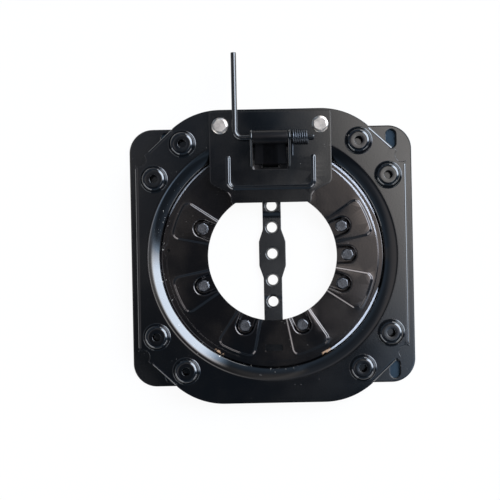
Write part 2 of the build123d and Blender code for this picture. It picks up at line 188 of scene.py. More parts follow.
# Latch plate
NOSE_HALF_WIDTH = 51.0 * MM
NECK = 12.2 * MM
SHOULDER = 25.2 * MM
LATCH_ROUNDS = np.array((3.0, 8.0, 8.0, 3.0) * 2) * MM
LATCH_MARGIN = 1.6 * MM
WINDOW_MIDDLE = np.array((0.0, 126.0)) * MM
WINDOW_HALF = np.array((22.7, 16.0)) * MM
WINDOW_CORNER = 1.5 * MM
WINDOW_MARGIN = 1.2 * MM
BEAD_HALF_SPAN = 54.0 * MM
BEAD_HALF_WIDTH = 3.2 * MM
BEAD_SETBACK = 19.2 * MM
BEAD_LEG = 38.0 * MM
BEAD_CORNER = 8.0 * MM
EAR_MIDDLE = 24.2 * MM
EAR_RADIUS = 10.0 * MM
EAR_FRONT = 113.0 * MM
EAR_FOOT = 3.0 * MM
EAR_SUNK = TABLE_TOP + 0.4 * MM
EAR_EDGE = 1.1 * MM

# Latch mechanism
SIDEWAYS = ((0, 1, 0), (0, 0, 1), (1, 0, 0))
ROD_RADIUS = 3.5 * MM
ROD_CAP = 0.3 * ROD_RADIUS
ELBOW = 9.0 * MM
BARREL_BORE = ROD_RADIUS + 0.05 * MM
BARREL_RADIUS = 9.0 * MM
BARREL_HALF = 22.1 * MM
BARREL_ROUNDS = np.array((0.4, 1.0, 1.0, 0.4)) * MM
BLADE_GAUGE = 5.0 * MM
BLADE_HALF = 20.0 * MM
BLADE_FRONT = 116.7 * MM
BLADE_RISE = 4.6 * MM
BLADE_EDGE = 0.8 * MM
TOOTH_HALF = 10.0 * MM
TOOTH_SLANT = 3.5 * MM
TOOTH_TIP = SECTOR_TOP + 0.8 * MM
WIRE_RADIUS = 1.25 * MM
WIRE_CAP = 0.4 * MM
COIL_RADIUS = 8.2 * MM
COIL_START = 28.0 * MM
COIL_PITCH = 2.75 * MM
LEG_INSET = 0.2 * MM
LEG_GAP = 0.15 * MM
HOOK_RADIUS = 2.4 * MM
HOOK_END = 3.4 * MM

# Bolt heads: width over flats, radius and height of the flange, radius of the shank
CLAMP_HEAD = np.array((12.6, 7.6, 1.2, 4.0)) * MM
CLAMP_HEAD_HEIGHT = 5.3 * MM
CLAMP_HEAD_TURN = 2.4
LATCH_HEAD = np.array((15.8, 10.5, 2.2, 5.0)) * MM
LATCH_BOLT = np.array((63.5, 166.0)) * MM
LATCH_HEAD_TURNS = ((-1, 0.35), (1, 0.1))

# Sheen of the clamp disc's coat and of the duller latch
WARM = (1.0, 0.9, 0.86)
DULL = (0.30, 0.27, 0.26)

# Room: limits of the ramps over a direction's parts, with the values there unless they are 0 and 1
CEILING_SLANT = 0.35
CEILING_START = (0.012, 0.10)
CEILING_STOP = (0.082, 0.13, 1.0, 0.2)
CEILING_REACH = (0.065, 0.12, 1.0, 0.1)
CEILING_RISE = (0.5, 0.7)
HORIZON_START = (0.05, 0.3)
HORIZON_STOP = (0.5, 0.85, 1.0, 0.0)
WINDOW_HEADING = np.radians(29.0)
WINDOW_SPREAD = (0.36, 0.68, 1.0, 0.0)
WINDOW_START = (0.3, 0.46)
WINDOW_STOP = (0.88, 0.965, 1.0, 0.0)
LEFT_SLANT = 0.6
LEFT_START = (-0.15, -0.025, 1.0, 0.0)
LEFT_RISE = (0.6, 0.99)
LEFT_REACH = (0.06, 0.25, 1.0, 0.35)
WARM_SIDE = (-0.05, 0.02)
WARM_START = (0.02, 0.045)
WARM_RISE = (0.75, 0.9)
OUTER_SIDE = (0.025, 0.055)
CEILING_LIGHT = (0.78, 0.86, 1.0)
OUTER_LIGHT = (0.5, 0.72, 1.0)
WARM_LIGHT = (1.0, 0.97, 0.95)
LEFT_LIGHT = (0.97, 0.93, 0.96)
WINDOW_LIGHT = (0.76, 0.86, 1.0)
WHITE = (1.0, 1.0, 1.0)

# Floor
FLOOR_HALF = 4.0
FLOOR_DROP = 0.2 * MM
FLOOR_PALE = (0.8, 0.8, 0.8)
# Painted shade: the floor's near-black colour under the base plate, seen through its slots
FLOOR_PAINTED_SHADE = (0.03, 0.045, 0.06)
FLOOR_WHITENESS = 0.94

# Low panels: name, heading, half spread and share of the brightness
PANEL_REACH = 1.8
PANEL_LOW, PANEL_HIGH = np.tan(np.radians((8.0, 24.0)))
PANEL_LIGHT = (0.95, 0.97, 1.0)
PANELS = (
    ("front_panel", -41.0, 17.0, 0.3),
    ("right_panel", 52.0, 24.0, 0.5),
    ("back_panel", 222.0, 28.0, 0.35),
)


def length_setting(name, description, default):
    """A length that a user can change."""
    return FloatProperty(name=name, description=description, default=default, unit="LENGTH")


def colour_setting(name, description, default):
    """A colour that a user can change."""
    return FloatVectorProperty(name=name, description=description, default=default, size=3, subtype="COLOR")


def level_setting(name, description, default):
    """A brightness that a user can change."""
    return FloatProperty(name=name, description=description, default=default)


class SwivelForm(bpy.types.PropertyGroup):
    """Roundings of the pressed sheets and of the small parts"""

    lip_bend: length_setting("Lip bend", "Outer radius of the turned-down edges", 2.8 * MM)
    dish_shoulder: length_setting("Dish shoulder", "Radius of the dish's upper bend", 29.0 * MM)
    dish_brow: length_setting("Dish brow", "Radius over the dish's steep wall", 2.8 * MM)
    dish_root: length_setting("Dish root", "Radius of the dish's lower bend", 2.0 * MM)
    boss_shoulder: length_setting("Boss shoulder", "Radius round a boss's top", 5.5 * MM)
    boss_root: length_setting("Boss root", "Radius round a boss's foot", 1.2 * MM)
    ring_drop: length_setting("Ring drop", "Fall of the flat ring round the clamp disc", 0.8 * MM)
    rim_run: length_setting("Rim run", "Width of the clamp disc's bevelled rim", 1.0 * MM)
    rim_drop: length_setting("Rim drop", "Fall of the clamp disc's bevelled rim", 0.8 * MM)
    sector_run: length_setting("Sector step", "Width of the step round a raised sector", 3.4 * MM)
    bead_height: length_setting("Bead height", "Height of the latch plate's bead", 1.8 * MM)
    cut_round: length_setting("Cut edge", "Rounding on cut sheet edges", 0.35 * MM)
    spring_turns: IntProperty(name="Spring turns", description="Turns of the return spring", default=7)


class SwivelFinish(bpy.types.PropertyGroup):
    """Colours of the coats and bare metals, and of the highlights painted on the clamp disc's rim"""

    coat: colour_setting("Coat", "Black dip coat", (0.0018, 0.0019, 0.0024))
    coat_thin: colour_setting("Thin coat", "Coat where it runs thin", (0.0115, 0.009, 0.0075))
    chip: colour_setting("Chip", "Scuffed coat and dried grease", (0.46, 0.42, 0.37))
    # Painted highlight: colour of the bright arcs on the clamp disc's rim, drawn as coat rubbed bright
    painted_highlight: colour_setting("Rubbed", "Coat rubbed bright", (0.80, 0.82, 0.88))
    grease: colour_setting("Grease", "Tan grease at the disc's rim", (0.42, 0.25, 0.14))
    dark_steel: colour_setting("Dark steel", "Clamp bolts", (0.19, 0.187, 0.195))
    spring_steel: colour_setting("Spring steel", "Spring wire", (0.09, 0.095, 0.105))
    zinc: colour_setting("Zinc", "Plated latch bolts", (0.80, 0.71, 0.63))
    nylon: colour_setting("Nylon", "Glide pads", (0.78, 0.75, 0.66))


class SwivelStage(bpy.types.PropertyGroup):
    """Camera and lights"""

    view_width: length_setting("View width", "Width seen at the turntable's level", 0.6342)
    camera_height: length_setting("Camera height", "Height over the turntable", 3.0)
    roll: FloatProperty(
        name="Roll", description="Turn of the picture", default=np.radians(-1.14), subtype="ANGLE"
    )
    shift: FloatVectorProperty(
        name="Shift", description="Shift of the picture, in widths", size=2, default=(-0.0449, 0.0118)
    )
    panel_level: level_setting("Panels", "Brightness of the low panels", 9.0)
    room_level: level_setting("Room", "Brightness of the dark parts of the room", 0.06)
    ceiling_level: level_setting("Ceiling", "Brightness of the lit ceiling", 2.6)
    window_level: level_setting("Window", "Brightness of the wide window", 9.8)
    left_level: level_setting("Left", "Brightness of the room's left", 0.4)
    horizon_level: level_setting("Horizon", "Brightness of the band above the horizon", 0.25)


def toward(angle):
    """Flat directions at angles from +X."""
    return np.stack((np.cos(angle), np.sin(angle)), axis=-1)


def heading_of(point):
    """Angle of a flat direction from +X."""
    return np.arctan2(point[1], point[0])


def compass(heading):
    """The level direction at an angle in degrees from +X."""
    return (*toward(np.radians(heading)), 0.0)


def unit_circle(count):
    """Points at even angles on a circle of radius one."""
    return toward(np.linspace(0.0, 2.0 * np.pi, count, endpoint=False))


def arc(centre, radius, start, stop, count):
    """Points on a circular arc: centre plus radius times the cosine and sine of even angles."""
    return np.asarray(centre) + radius * toward(np.linspace(start, stop, count))


def smooth(share):
    """A smooth step from 0 to 1: three times the share's square less twice its cube."""
    return share * share * (3.0 - 2.0 * share)


def rounded(corners, radii, step):
    """A loop through corners, each corner of radius r replaced by an arc tangent to both its sides.

    The arc's centre lies on the corner's bisector, r over the sine of half the corner's angle away.
    A radius of 0 leaves the corner sharp.
    """
    corners = np.asarray(corners, float)
    runs = []
    for index, (corner, radius) in enumerate(zip(corners, radii)):
        if radius == 0.0:
            runs.append(corner[None])
            continue
        before = corners[index - 1] - corner
        after = corners[(index + 1) % len(corners)] - corner
        before = before / np.linalg.norm(before)
        after = after / np.linalg.norm(after)
        half = 0.5 * np.arccos(np.clip(before @ after, -1.0, 1.0))
        bisector = (before + after) / np.linalg.norm(before + after)
        centre = corner + bisector * radius / np.sin(half)
        reach = radius / np.tan(half)
        start = heading_of(corner + before * reach - centre)
        stop = heading_of(corner + after * reach - centre)
        sweep = (stop - start + np.pi) % (2.0 * np.pi) - np.pi
        count = max(4, int(np.ceil(abs(sweep) * radius / step)) + 1)
        runs.append(arc(centre, radius, start, start + sweep, count))
    return np.concatenate(runs)


def profile(corners, radii, step):
    """An open line through corners, with radii for all but its two ends."""
    return rounded(corners, (0.0, *radii, 0.0), step)


def spaced(points, step, closed=True):
    """The same line with points added evenly, so that no straight run is longer than the step."""
    ends = np.roll(points, -1, axis=0) if closed else points[1:]
    starts = points if closed else points[:-1]
    counts = np.maximum(1, np.ceil(np.linalg.norm(ends - starts, axis=1) / step - 1e-6)).astype(int)
    which = np.repeat(np.arange(len(counts)), counts)
    place = np.arange(counts.sum()) - np.repeat(np.cumsum(counts) - counts, counts)
    share = (place / counts[which])[:, None]
    line = starts[which] + share * (ends - starts)[which]
    return line if closed else np.concatenate((line, points[-1:]))


def mirrored(right):
    """A loop: a line up the right side and its mirror down the left."""
    return np.concatenate((right, (right * (-1.0, 1.0))[::-1]))


def side_normals(points, closed=True):
    """Normals to the right of a line, mitred: (a + b) / (1 + a.b) for the two sides' normals a and b."""
    ends = np.roll(points, -1, axis=0) if closed else points[1:]
    along = ends - (points if closed else points[:-1])
    along = along / np.linalg.norm(along, axis=1, keepdims=True)
    right = np.stack((along[:, 1], -along[:, 0]), axis=-1)
    before = np.roll(right, 1, axis=0) if closed else np.concatenate((right[:1], right))
    after = right if closed else np.concatenate((right, right[-1:]))
    spread = 1.0 + np.sum(before * after, axis=1, keepdims=True)
    return (before + after) / np.maximum(spread, 0.6)


def raised(flat, height):
    """Flat points lifted to one height, to a height for each row or to a height for each point."""
    height = np.asarray(height, float)
    height = height.reshape(height.shape + (1,) * (flat.ndim - height.ndim))
    return np.concatenate((flat, np.broadcast_to(height, flat.shape[:-1] + (1,))), axis=-1)


def grid(points, closed):
    """A patch from an array of rows, columns and coordinates, whose rows step to their line's left."""
    rows, columns = points.shape[:2]
    row = np.arange(rows - 1)[:, None] * columns
    column = np.arange(columns if closed else columns - 1)[None, :]
    first = row + column
    second = row + (column + 1) % columns
    faces = np.stack((first, second, second + columns, first + columns), axis=-1)
    return points.reshape(-1, 3), faces.reshape(-1, 4)


def band(line, offsets, heights, closed=True):
    """A profile carried along a line: each row is the line moved right by an offset, at a height."""
    flat = line + side_normals(line, closed) * np.asarray(offsets)[:, None, None]
    return grid(raised(flat, heights), closed)


def framed(line, width, height):
    """A flat border to a loop's right, or to its left for a width below 0, and the border's far line."""
    border = band(line, (max(width, 0.0), min(width, 0.0)), (height, height))
    return border, line + width * side_normals(line)


def turned(line, count, centre=(0.0, 0.0)):
    """A line of radius and height carried round an upright axis, from the outside in."""
    flat = line[:, None, :1] * unit_circle(count) + np.asarray(centre)
    return grid(raised(flat, line[:, 1]), True)


def stepped(line_at, offsets, heights):
    """A patch whose rows are a line function at each offset, at each height."""
    return grid(raised(np.array([line_at(offset) for offset in offsets]), heights), False)


def inside(points, loop):
    """Whether each point lies in a loop: a ray to its right crosses an odd number of the loop's sides."""
    ends = np.roll(loop, -1, axis=0)
    crosses = (loop[None, :, 1] > points[:, None, 1]) != (ends[None, :, 1] > points[:, None, 1])
    climb = np.where(ends[:, 1] == loop[:, 1], 1.0, ends[:, 1] - loop[:, 1])
    reach = loop[None, :, 0] + (points[:, None, 1] - loop[None, :, 1]) * ((ends - loop)[:, 0] / climb)[None]
    return np.sum(crosses & (reach > points[:, None, 0]), axis=1) % 2 == 1


def fill(loops, height, loose=None):
    """A flat patch inside the first loop and outside the others, as a constrained triangulation."""
    points = np.concatenate(loops if loose is None else [*loops, loose])
    starts = np.cumsum([0] + [len(loop) for loop in loops])
    sides = []
    for start, loop in zip(starts, loops):
        index = np.arange(len(loop))
        sides.append(start + np.stack((index, (index + 1) % len(loop)), axis=-1))
    flat, _, faces, *_ = delaunay_2d_cdt(
        [Vector(point) for point in points.tolist()], np.concatenate(sides).tolist(), [], 1, 1e-7
    )
    flat = np.array([tuple(point) for point in flat])
    faces = np.array(faces)
    middles = flat[faces].mean(axis=1)
    kept = inside(middles, loops[0])
    for hole in loops[1:]:
        kept &= ~inside(middles, hole)
    return raised(flat, height), faces[kept]


def spun(points, angle):
    """Flat or raised points turned about the swivel axis."""
    turn = np.eye(points.shape[1])
    turn[:2, :2] = (np.cos(angle), np.sin(angle)), (-np.sin(angle), np.cos(angle))
    return points @ turn


def placed(patch, axes, origin=(0.0, 0.0, 0.0)):
    """A patch whose own three directions become the given axes, moved to an origin."""
    points, faces = patch
    return points @ np.asarray(axes, float) + np.asarray(origin), faces


def slab(loop, thickness, edge):
    """A closed plate: a loop filled twice, joined round its edge by two quarter rounds."""
    quarter = np.linspace(0.0, 0.5 * np.pi, 5)
    turn = np.concatenate((-quarter[::-1], quarter))
    side = np.repeat((-1.0, 1.0), len(quarter))
    heights = side * (0.5 * thickness - edge) + edge * np.sin(turn)
    wall = band(loop, edge * (np.cos(turn) - 1.0), heights)
    face = loop - edge * side_normals(loop)
    return [wall, fill([face], 0.5 * thickness), fill([face], -0.5 * thickness)]


def tube(line, radius, count, cap):
    """A circle carried along a line, square to it, with rounded ends of the given cap length.

    Each ring spans the part of +X, or of +Z where the line is level, that is square to the line,
    and the cross product with the line's own direction.
    """
    along = np.gradient(line, axis=0)
    along /= np.linalg.norm(along, axis=1, keepdims=True)
    guide = np.array((0.0, 0.0, 1.0)) if np.ptp(line[:, 2]) < 1e-9 else np.array((1.0, 0.0, 0.0))
    first = guide - (along @ guide)[:, None] * along
    first /= np.linalg.norm(first, axis=1, keepdims=True)
    second = np.cross(along, first)
    bulge = np.linspace(0.0, 0.5 * np.pi, 5)[1:]
    narrow = np.append(np.cos(bulge) * cap + radius - cap, 0.0)
    ahead = np.append(np.sin(bulge) * cap, cap)
    scale = np.concatenate((narrow[::-1], np.full(len(line), radius), narrow))
    slide = np.concatenate((-ahead[::-1], np.zeros(len(line)), ahead))
    keep = np.pad(np.arange(len(line)), len(ahead), mode="edge")
    circle = unit_circle(count)
    spoke = circle[None, :, :1] * first[keep][:, None] + circle[None, :, 1:] * second[keep][:, None]
    centre = line[keep] + slide[:, None] * along[keep]
    return grid(centre[:, None] + scale[:, None, None] * spoke, True)


def hex_bolt(centre, floor, height, head, tail, turn):
    """A flanged hex head and its shank, as one radius for each angle and row.

    A hexagon's radius at an angle is half its width over flats divided by the cosine of the angle
    from the nearest flat's middle; its top's edge is chamfered, most at the corners.
    """
    flats, flange, flange_height, shank = head
    angle = np.linspace(0.0, 2.0 * np.pi, 72, endpoint=False)
    from_flat = (angle + np.pi / 6.0) % (np.pi / 3.0) - np.pi / 6.0
    hexagon = np.minimum(0.5 * flats / np.cos(from_flat), 0.5 * flats * 1.135)
    crown = 0.94 * np.minimum(hexagon, 0.545 * flats)
    cut = (hexagon - crown) * np.tan(np.radians(28.0))
    seat = floor + flange_height
    top = floor + height
    rows = (
        (0.0, tail),
        (0.86 * shank, tail),
        (shank, tail + 0.14 * shank),
        (shank, floor),
        (flange, floor),
        (flange, floor + 0.45 * flange_height),
        (np.maximum(hexagon + 0.06 * flats, 0.93 * flange), floor + 0.75 * flange_height),
        (hexagon + 0.02 * flats, seat),
        (hexagon, seat + 0.03 * flats),
        (hexagon, top - cut),
        (crown, top),
        (0.97 * crown, top),
        (0.0, top - 0.008 * flats),
    )
    radius, level = np.array([np.broadcast_arrays(*row, angle)[:2] for row in rows]).swapaxes(0, 1)
    return grid(raised(np.asarray(centre) + radius[..., None] * toward(angle + turn), level), True)


def make_piece(name, patches, material, body, nodes, gauge=0.0, cut=0.0, sharp=None, clamp=False):
    """Joins patches into one mesh, gives a sheet its gauge below and rounds its cut edges."""
    counts = np.cumsum([0] + [len(points) for points, _ in patches])
    points = np.concatenate([points for points, _ in patches])
    faces = []
    for start, (_, patch_faces) in zip(counts, patches):
        faces.extend((patch_faces + start).tolist())
    mesh = bpy.data.meshes.new(name)
    mesh.from_pydata(points.tolist(), [], faces)
    shape = bmesh.new()
    shape.from_mesh(mesh)
    bmesh.ops.remove_doubles(shape, verts=shape.verts, dist=0.004 * MM)
    bmesh.ops.dissolve_degenerate(shape, dist=0.001 * MM, edges=shape.edges)
    bmesh.ops.recalc_face_normals(shape, faces=shape.faces)
    shape.to_mesh(mesh)
    shape.free()
    if not len(mesh.polygons) or not np.isfinite(points).all():
        raise RuntimeError(f"{name} has no sound surface")
    facing = np.empty(3 * len(mesh.polygons))
    areas = np.empty(len(mesh.polygons))
    mesh.polygons.foreach_get("normal", facing)
    mesh.polygons.foreach_get("area", areas)
    if gauge and facing[2::3] @ areas < 0.0:
        mesh.flip_normals()
    mesh.shade_smooth()
    if sharp is not None:
        mesh.set_sharp_from_angle(angle=np.radians(sharp))
    piece = bpy.data.objects.new(name, mesh)
    bpy.context.scene.collection.objects.link(piece)
    mesh.materials.append(material)
    if gauge:
        wall = piece.modifiers.new("gauge", "SOLIDIFY")
        wall.thickness = gauge
        wall.offset = -1.0
    if cut:
        edge = piece.modifiers.new("cut edge", "BEVEL")
        edge.width = cut
        edge.segments = 2
        edge.limit_method = "ANGLE"
        edge.angle_limit = np.radians(40.0)
        edge.use_clamp_overlap = clamp
        piece.modifiers.new("flat shading", "WEIGHTED_NORMAL").weight = 80
    if body:
        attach(piece, body)
    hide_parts(*nodes)
    return piece


class Wire:
    """An output in a node tree; arithmetic with other wires or with numbers adds math nodes."""

    def __init__(self, tree, output):
        self.tree = tree
        self.output = output

    def math(self, operation, other=None, clamp=False):
        """A math node on this wire and, where the operation takes two, another operand."""
        operands = {0: self} if other is None else {0: self, 1: other}
        return wired(self.tree, "ShaderNodeMath", 0, operands, operation=operation, use_clamp=clamp)

    def __add__(self, other):
        return self.math("ADD", other)

    def __sub__(self, other):
        return self.math("SUBTRACT", other)

    def __rsub__(self, other):
        return self.math("MULTIPLY", -1.0).math("ADD", other)

    def __mul__(self, other):
        return self.math("MULTIPLY", other)

    def __truediv__(self, other):
        return self.math("DIVIDE", other)

    def __abs__(self):
        return self.math("ABSOLUTE")

    def ramp(self, low, high, start=0.0, stop=1.0):
        """A smooth step of this value from low to high."""
        limits = {"From Min": low, "From Max": high, "To Min": start, "To Max": stop}
        inputs = {"Value": self, **limits}
        return wired(self.tree, "ShaderNodeMapRange", "Result", inputs, interpolation_type="SMOOTHSTEP")

    def noise(self, scale, detail):
        """A noise pattern over this vector."""
        inputs = {"Vector": self, "Scale": scale, "Detail": detail}
        return wired(self.tree, "ShaderNodeTexNoise", "Fac", inputs)

    def vector_math(self, operation, output, other=None):
        """A vector math node on this vector and, where the operation takes two, another operand."""
        operands = {0: self} if other is None else {0: self, 1: other}
        return wired(self.tree, "ShaderNodeVectorMath", output, operands, operation=operation)

    def split(self):
        """The three parts of this vector."""
        node = self.tree.nodes.new("ShaderNodeSeparateXYZ")
        feed(self.tree, node.inputs["Vector"], self)
        return [Wire(self.tree, output) for output in node.outputs]


def feed(tree, socket, value):
    """Links a wire to a socket, or sets the socket's own value; a colour gets its alpha."""
    if isinstance(value, Wire):
        tree.links.new(value.output, socket)
    else:
        socket.default_value = (*value, 1.0) if socket.type == "RGBA" else value


def wired(tree, kind, output, inputs, **settings):
    """One output of a new node, with its inputs fed and its settings made."""
    node = tree.nodes.new(kind)
    for name, value in settings.items():
        setattr(node, name, value)
    for name, value in inputs.items():
        feed(tree, node.inputs[name], value)
    return Wire(tree, node.outputs[output])


def mix_colour(share, first, second):
    """Blends two colours; each is a wire or a colour."""
    node = share.tree.nodes.new("ShaderNodeMix")
    node.data_type = "RGBA"
    feed(share.tree, node.inputs["Factor"], share)
    sockets = [socket for socket in node.inputs if socket.type == "RGBA"]
    for socket, value in zip(sockets, (first, second)):
        feed(share.tree, socket, value)
    return Wire(share.tree, next(socket for socket in node.outputs if socket.type == "RGBA"))


def coat_grain(vector, values):
    """Texture of a dip coat: fine orange peel, slow clouds, and sparse specks of dust."""
    cells = {"Vector": vector, "Scale": values["Speck Scale"]}
    dots = wired(vector.tree, "ShaderNodeTexVoronoi", "Distance", cells).ramp(0.05, 0.13, 1.0, 0.0)
    return {
        "Peel": vector.noise(values["Peel Scale"], 2.0),
        "Cloud": vector.noise(values["Cloud Scale"], 5.0),
        "Specks": dots * vector.noise(34.0, 2.0).ramp(0.56, 0.66),
    }


def ring_place(vector, values):
    """Place on a ring: the distance from its radius in widths, and the nearness to a direction.

    The nearness is the cosine of the angle to the direction, stretched so that it is 0 at the narrow
    limit and 1 on the direction itself.
    """
    flat = vector.vector_math("MULTIPLY", "Vector", (1.0, 1.0, 0.0))
    length = flat.vector_math("LENGTH", "Value")
    facing = flat.vector_math("DOT_PRODUCT", "Value", values["Toward"]) / length
    near = (facing - values["Narrow"]) / (1.0 - values["Narrow"])
    return abs(length - values["Radius"]) / values["Width"], near


def ring_wear(vector, values):
    """Broken scuffs in a ring about the swivel axis, on the side that faces a direction."""
    away, near = ring_place(vector, values)
    flecks = (vector.noise(values["Scale"], 6.0) - values["Threshold"]).ramp(0.0, 0.05)
    return {"Mask": away.ramp(0.4, 1.0, 1.0, 0.0) * near.ramp(0.0, 0.9) * flecks}


def painted_highlight_arc(vector, values):
    """A painted highlight arc, drawn as coat rubbed bright, thickest at its middle: where the nearness exceeds the
    squared distance.
    """
    away, near = ring_place(vector, values)
    lens = (near - away * away).ramp(0.0, 0.25)
    return {"Mask": lens * vector.noise(340.0, 3.0).ramp(0.2, 0.45, 0.75, 1.0) * values["Share"]}


def metal_grain(vector, values):
    """Texture of a bare or plated part: fine turning marks, blotches and small pits."""
    return {
        "Marks": vector.noise(values["Mark Scale"], 3.0),
        "Blotches": vector.noise(values["Blotch Scale"], 4.0),
        "Pits": vector.noise(620.0, 2.0).ramp(0.62, 0.72),
    }


# Shared effects, with their inputs beside the vector
RING = {"Radius": 0.14, "Width": 0.004, "Toward": (-1.0, 0.0, 0.0), "Narrow": 0.55}
EFFECTS = {
    "Coat Grain": (coat_grain, {"Peel Scale": 420.0, "Cloud Scale": 16.0, "Speck Scale": 150.0}),
    "Ring Wear": (ring_wear, {**RING, "Scale": 260.0, "Threshold": 0.62}),
    # Painted highlight arcs for the clamp disc's rim
    "Painted Highlight Arc": (painted_highlight_arc, {**RING, "Share": 1.0}),
    "Metal Grain": (metal_grain, {"Mark Scale": 1500.0, "Blotch Scale": 120.0}),
}


def shared_group(name):
    """The node group of a shared effect, built the first time it is asked for."""
    tree = bpy.data.node_groups.get(name)
    if tree:
        return tree
    tree = bpy.data.node_groups.new(name, "ShaderNodeTree")
    effect, defaults = EFFECTS[name]
    for label, default in {"Vector": (0.0, 0.0, 0.0), **defaults}.items():
        kind = "NodeSocketVector" if isinstance(default, tuple) else "NodeSocketFloat"
        socket = tree.interface.new_socket(label, in_out="INPUT", socket_type=kind)
        socket.default_value = default
    enter = tree.nodes.new("NodeGroupInput")
    values = {label: Wire(tree, enter.outputs[label]) for label in defaults}
    results = effect(Wire(tree, enter.outputs["Vector"]), values)
    for label in results:
        tree.interface.new_socket(label, in_out="OUTPUT", socket_type="NodeSocketFloat")
    leave = tree.nodes.new("NodeGroupOutput")
    for label, result in results.items():
        feed(tree, leave.inputs[label], result)
    return tree


def place_effect(vector, name, values):
    """A shared effect placed in a material with its own values, as its outputs by name."""
    node = vector.tree.nodes.new("ShaderNodeGroup")
    node.node_tree = shared_group(name)
    for label, value in {"Vector": vector, **values}.items():
        feed(vector.tree, node.inputs[label], value)
    return {output.name: Wire(vector.tree, output) for output in node.outputs}


def new_material(name):
    """A material and its Object coordinates."""
    material = bpy.data.materials.new(name)
    material.use_nodes = True
    return material, wired(material.node_tree, "ShaderNodeTexCoord", "Object", {})


def feed_shader(material, relief, strength, depth, inputs):
    """Feeds a material's Principled shader, with a bump from a relief."""
    tree = material.node_tree
    lift = {"Strength": strength, "Distance": depth, "Height": relief}
    for label, value in {**inputs, "Normal": wired(tree, "ShaderNodeBump", "Normal", lift)}.items():
        feed(tree, tree.nodes["Principled BSDF"].inputs[label], value)


def coat_material(name, finish, gloss=0.1, brown=0.35, ring_marks=(), sheen=WHITE):
    """Black dip coat: clouded colour, orange peel, dust, and marks in rings: scuffs, chips and grease from wear,
    and on the clamp disc painted highlight arcs.
    """
    material, vector = new_material(name)
    grain = place_effect(vector, "Coat Grain", {})
    dust = grain["Specks"] * 0.16
    colour = mix_colour(grain["Cloud"].ramp(0.38, 0.68, 0.0, brown), finish.coat, finish.coat_thin)
    colour = mix_colour(dust, colour, finish.chip)
    rough = grain["Cloud"].ramp(0.3, 0.75, gloss - 0.02, gloss + 0.04) + dust * 1.2
    # Each ring mark is real wear or grease, except the clamp disc's painted highlight arcs
    for effect, tint, mark in ring_marks:
        ring_mark_mask = place_effect(vector, effect, mark)["Mask"]
        colour = mix_colour(ring_mark_mask, colour, tint)
        rough = rough.math("ADD", ring_mark_mask * 0.4, clamp=True)
    inputs = {"Base Color": colour, "Roughness": rough, "IOR": 1.8, "Specular Tint": sheen}
    feed_shader(material, grain["Peel"], 0.10, 0.05 * MM, inputs)
    return material


def metal_material(name, tint, rough, spread):
    """Bare or plated metal: blotched colour, pits, and roughness that follows the marks."""
    material, vector = new_material(name)
    grain = place_effect(vector, "Metal Grain", {})
    dark = [0.62 * channel for channel in tint]
    colour = mix_colour(grain["Blotches"].ramp(0.3, 0.7), dark, tint)
    colour = mix_colour(grain["Pits"] * 0.35, colour, dark)
    level = grain["Marks"].ramp(0.3, 0.7, rough - spread, rough + spread)
    level = level.math("ADD", grain["Pits"] * 0.12, clamp=True)
    inputs = {"Base Color": colour, "Roughness": level, "Metallic": 1.0}
    feed_shader(material, grain["Marks"], 0.12, 0.04 * MM, inputs)
    return material


def nylon_material(name, tint):
    """Natural nylon: faint clouds and a fine moulded grain."""
    material, vector = new_material(name)
    grain = place_effect(vector, "Coat Grain", {"Peel Scale": 900.0, "Cloud Scale": 40.0})
    colour = mix_colour(grain["Cloud"], [0.82 * channel for channel in tint], tint)
    inputs = {"Base Color": colour, "Roughness": grain["Cloud"].ramp(0.3, 0.7, 0.42, 0.55)}
    feed_shader(material, grain["Peel"], 0.15, 0.04 * MM, inputs)
    return material


class SWIVEL_OT_base(bpy.types.Operator):
    """Presses the base plate: flat sheet with corner slots and a raised round plateau"""

    bl_idname = "swivel.base"
    bl_label = "Base plate"

    def execute(self, context):
        half = np.array((BASE_HIGH.x, BASE_HIGH.y))
        outline = spaced(rounded(CORNERS * half, (BASE_CORNER,) * 4, 2.0 * MM), 4.0 * MM)
        frames = [framed(outline, -BASE_MARGIN, GAUGE)]
        for name in ("base_slots_left", "base_slots_right"):
            mount = MOUNTS[name]
            radius = mount["dims"]["hole_r_mm"] * MM
            reach = 0.5 * mount["dims"]["slot_length_mm"] * MM - radius
            for end in (-1, 1):
                middle = np.array((mount["pos_m"][0], end * 0.5 * mount["dims"]["spacing_y_mm"] * MM))
                upper = arc(middle + (0.0, reach), radius, 0.0, np.pi, 17)
                lower = arc(middle - (0.0, reach), radius, np.pi, 2.0 * np.pi, 17)
                frames.append(framed(np.concatenate((upper, lower)), BASE_SLOT_MARGIN, GAUGE))
        borders, loops = zip(*frames)
        radii = (PLATEAU_START, PLATEAU_FOOT, PLATEAU_EDGE, OPENING)
        levels = (GAUGE, GAUGE, PLATEAU_TOP, PLATEAU_TOP)
        plateau = profile(np.column_stack((radii, levels)), (PLATEAU_BEND, PLATEAU_BEND), 1.0 * MM)
        ring = unit_circle(RING_STEPS) * plateau[0, 0]
        patches = [*borders, fill([*loops, ring], GAUGE), turned(plateau, RING_STEPS)]
        coat = coat_material("base coat", context.scene.swivel_finish, gloss=0.09)
        cut = context.scene.swivel_form.cut_round
        piece = make_piece("base_sheet", patches, coat, "base", ["base_plate"], GAUGE, cut)
        return {"FINISHED"}


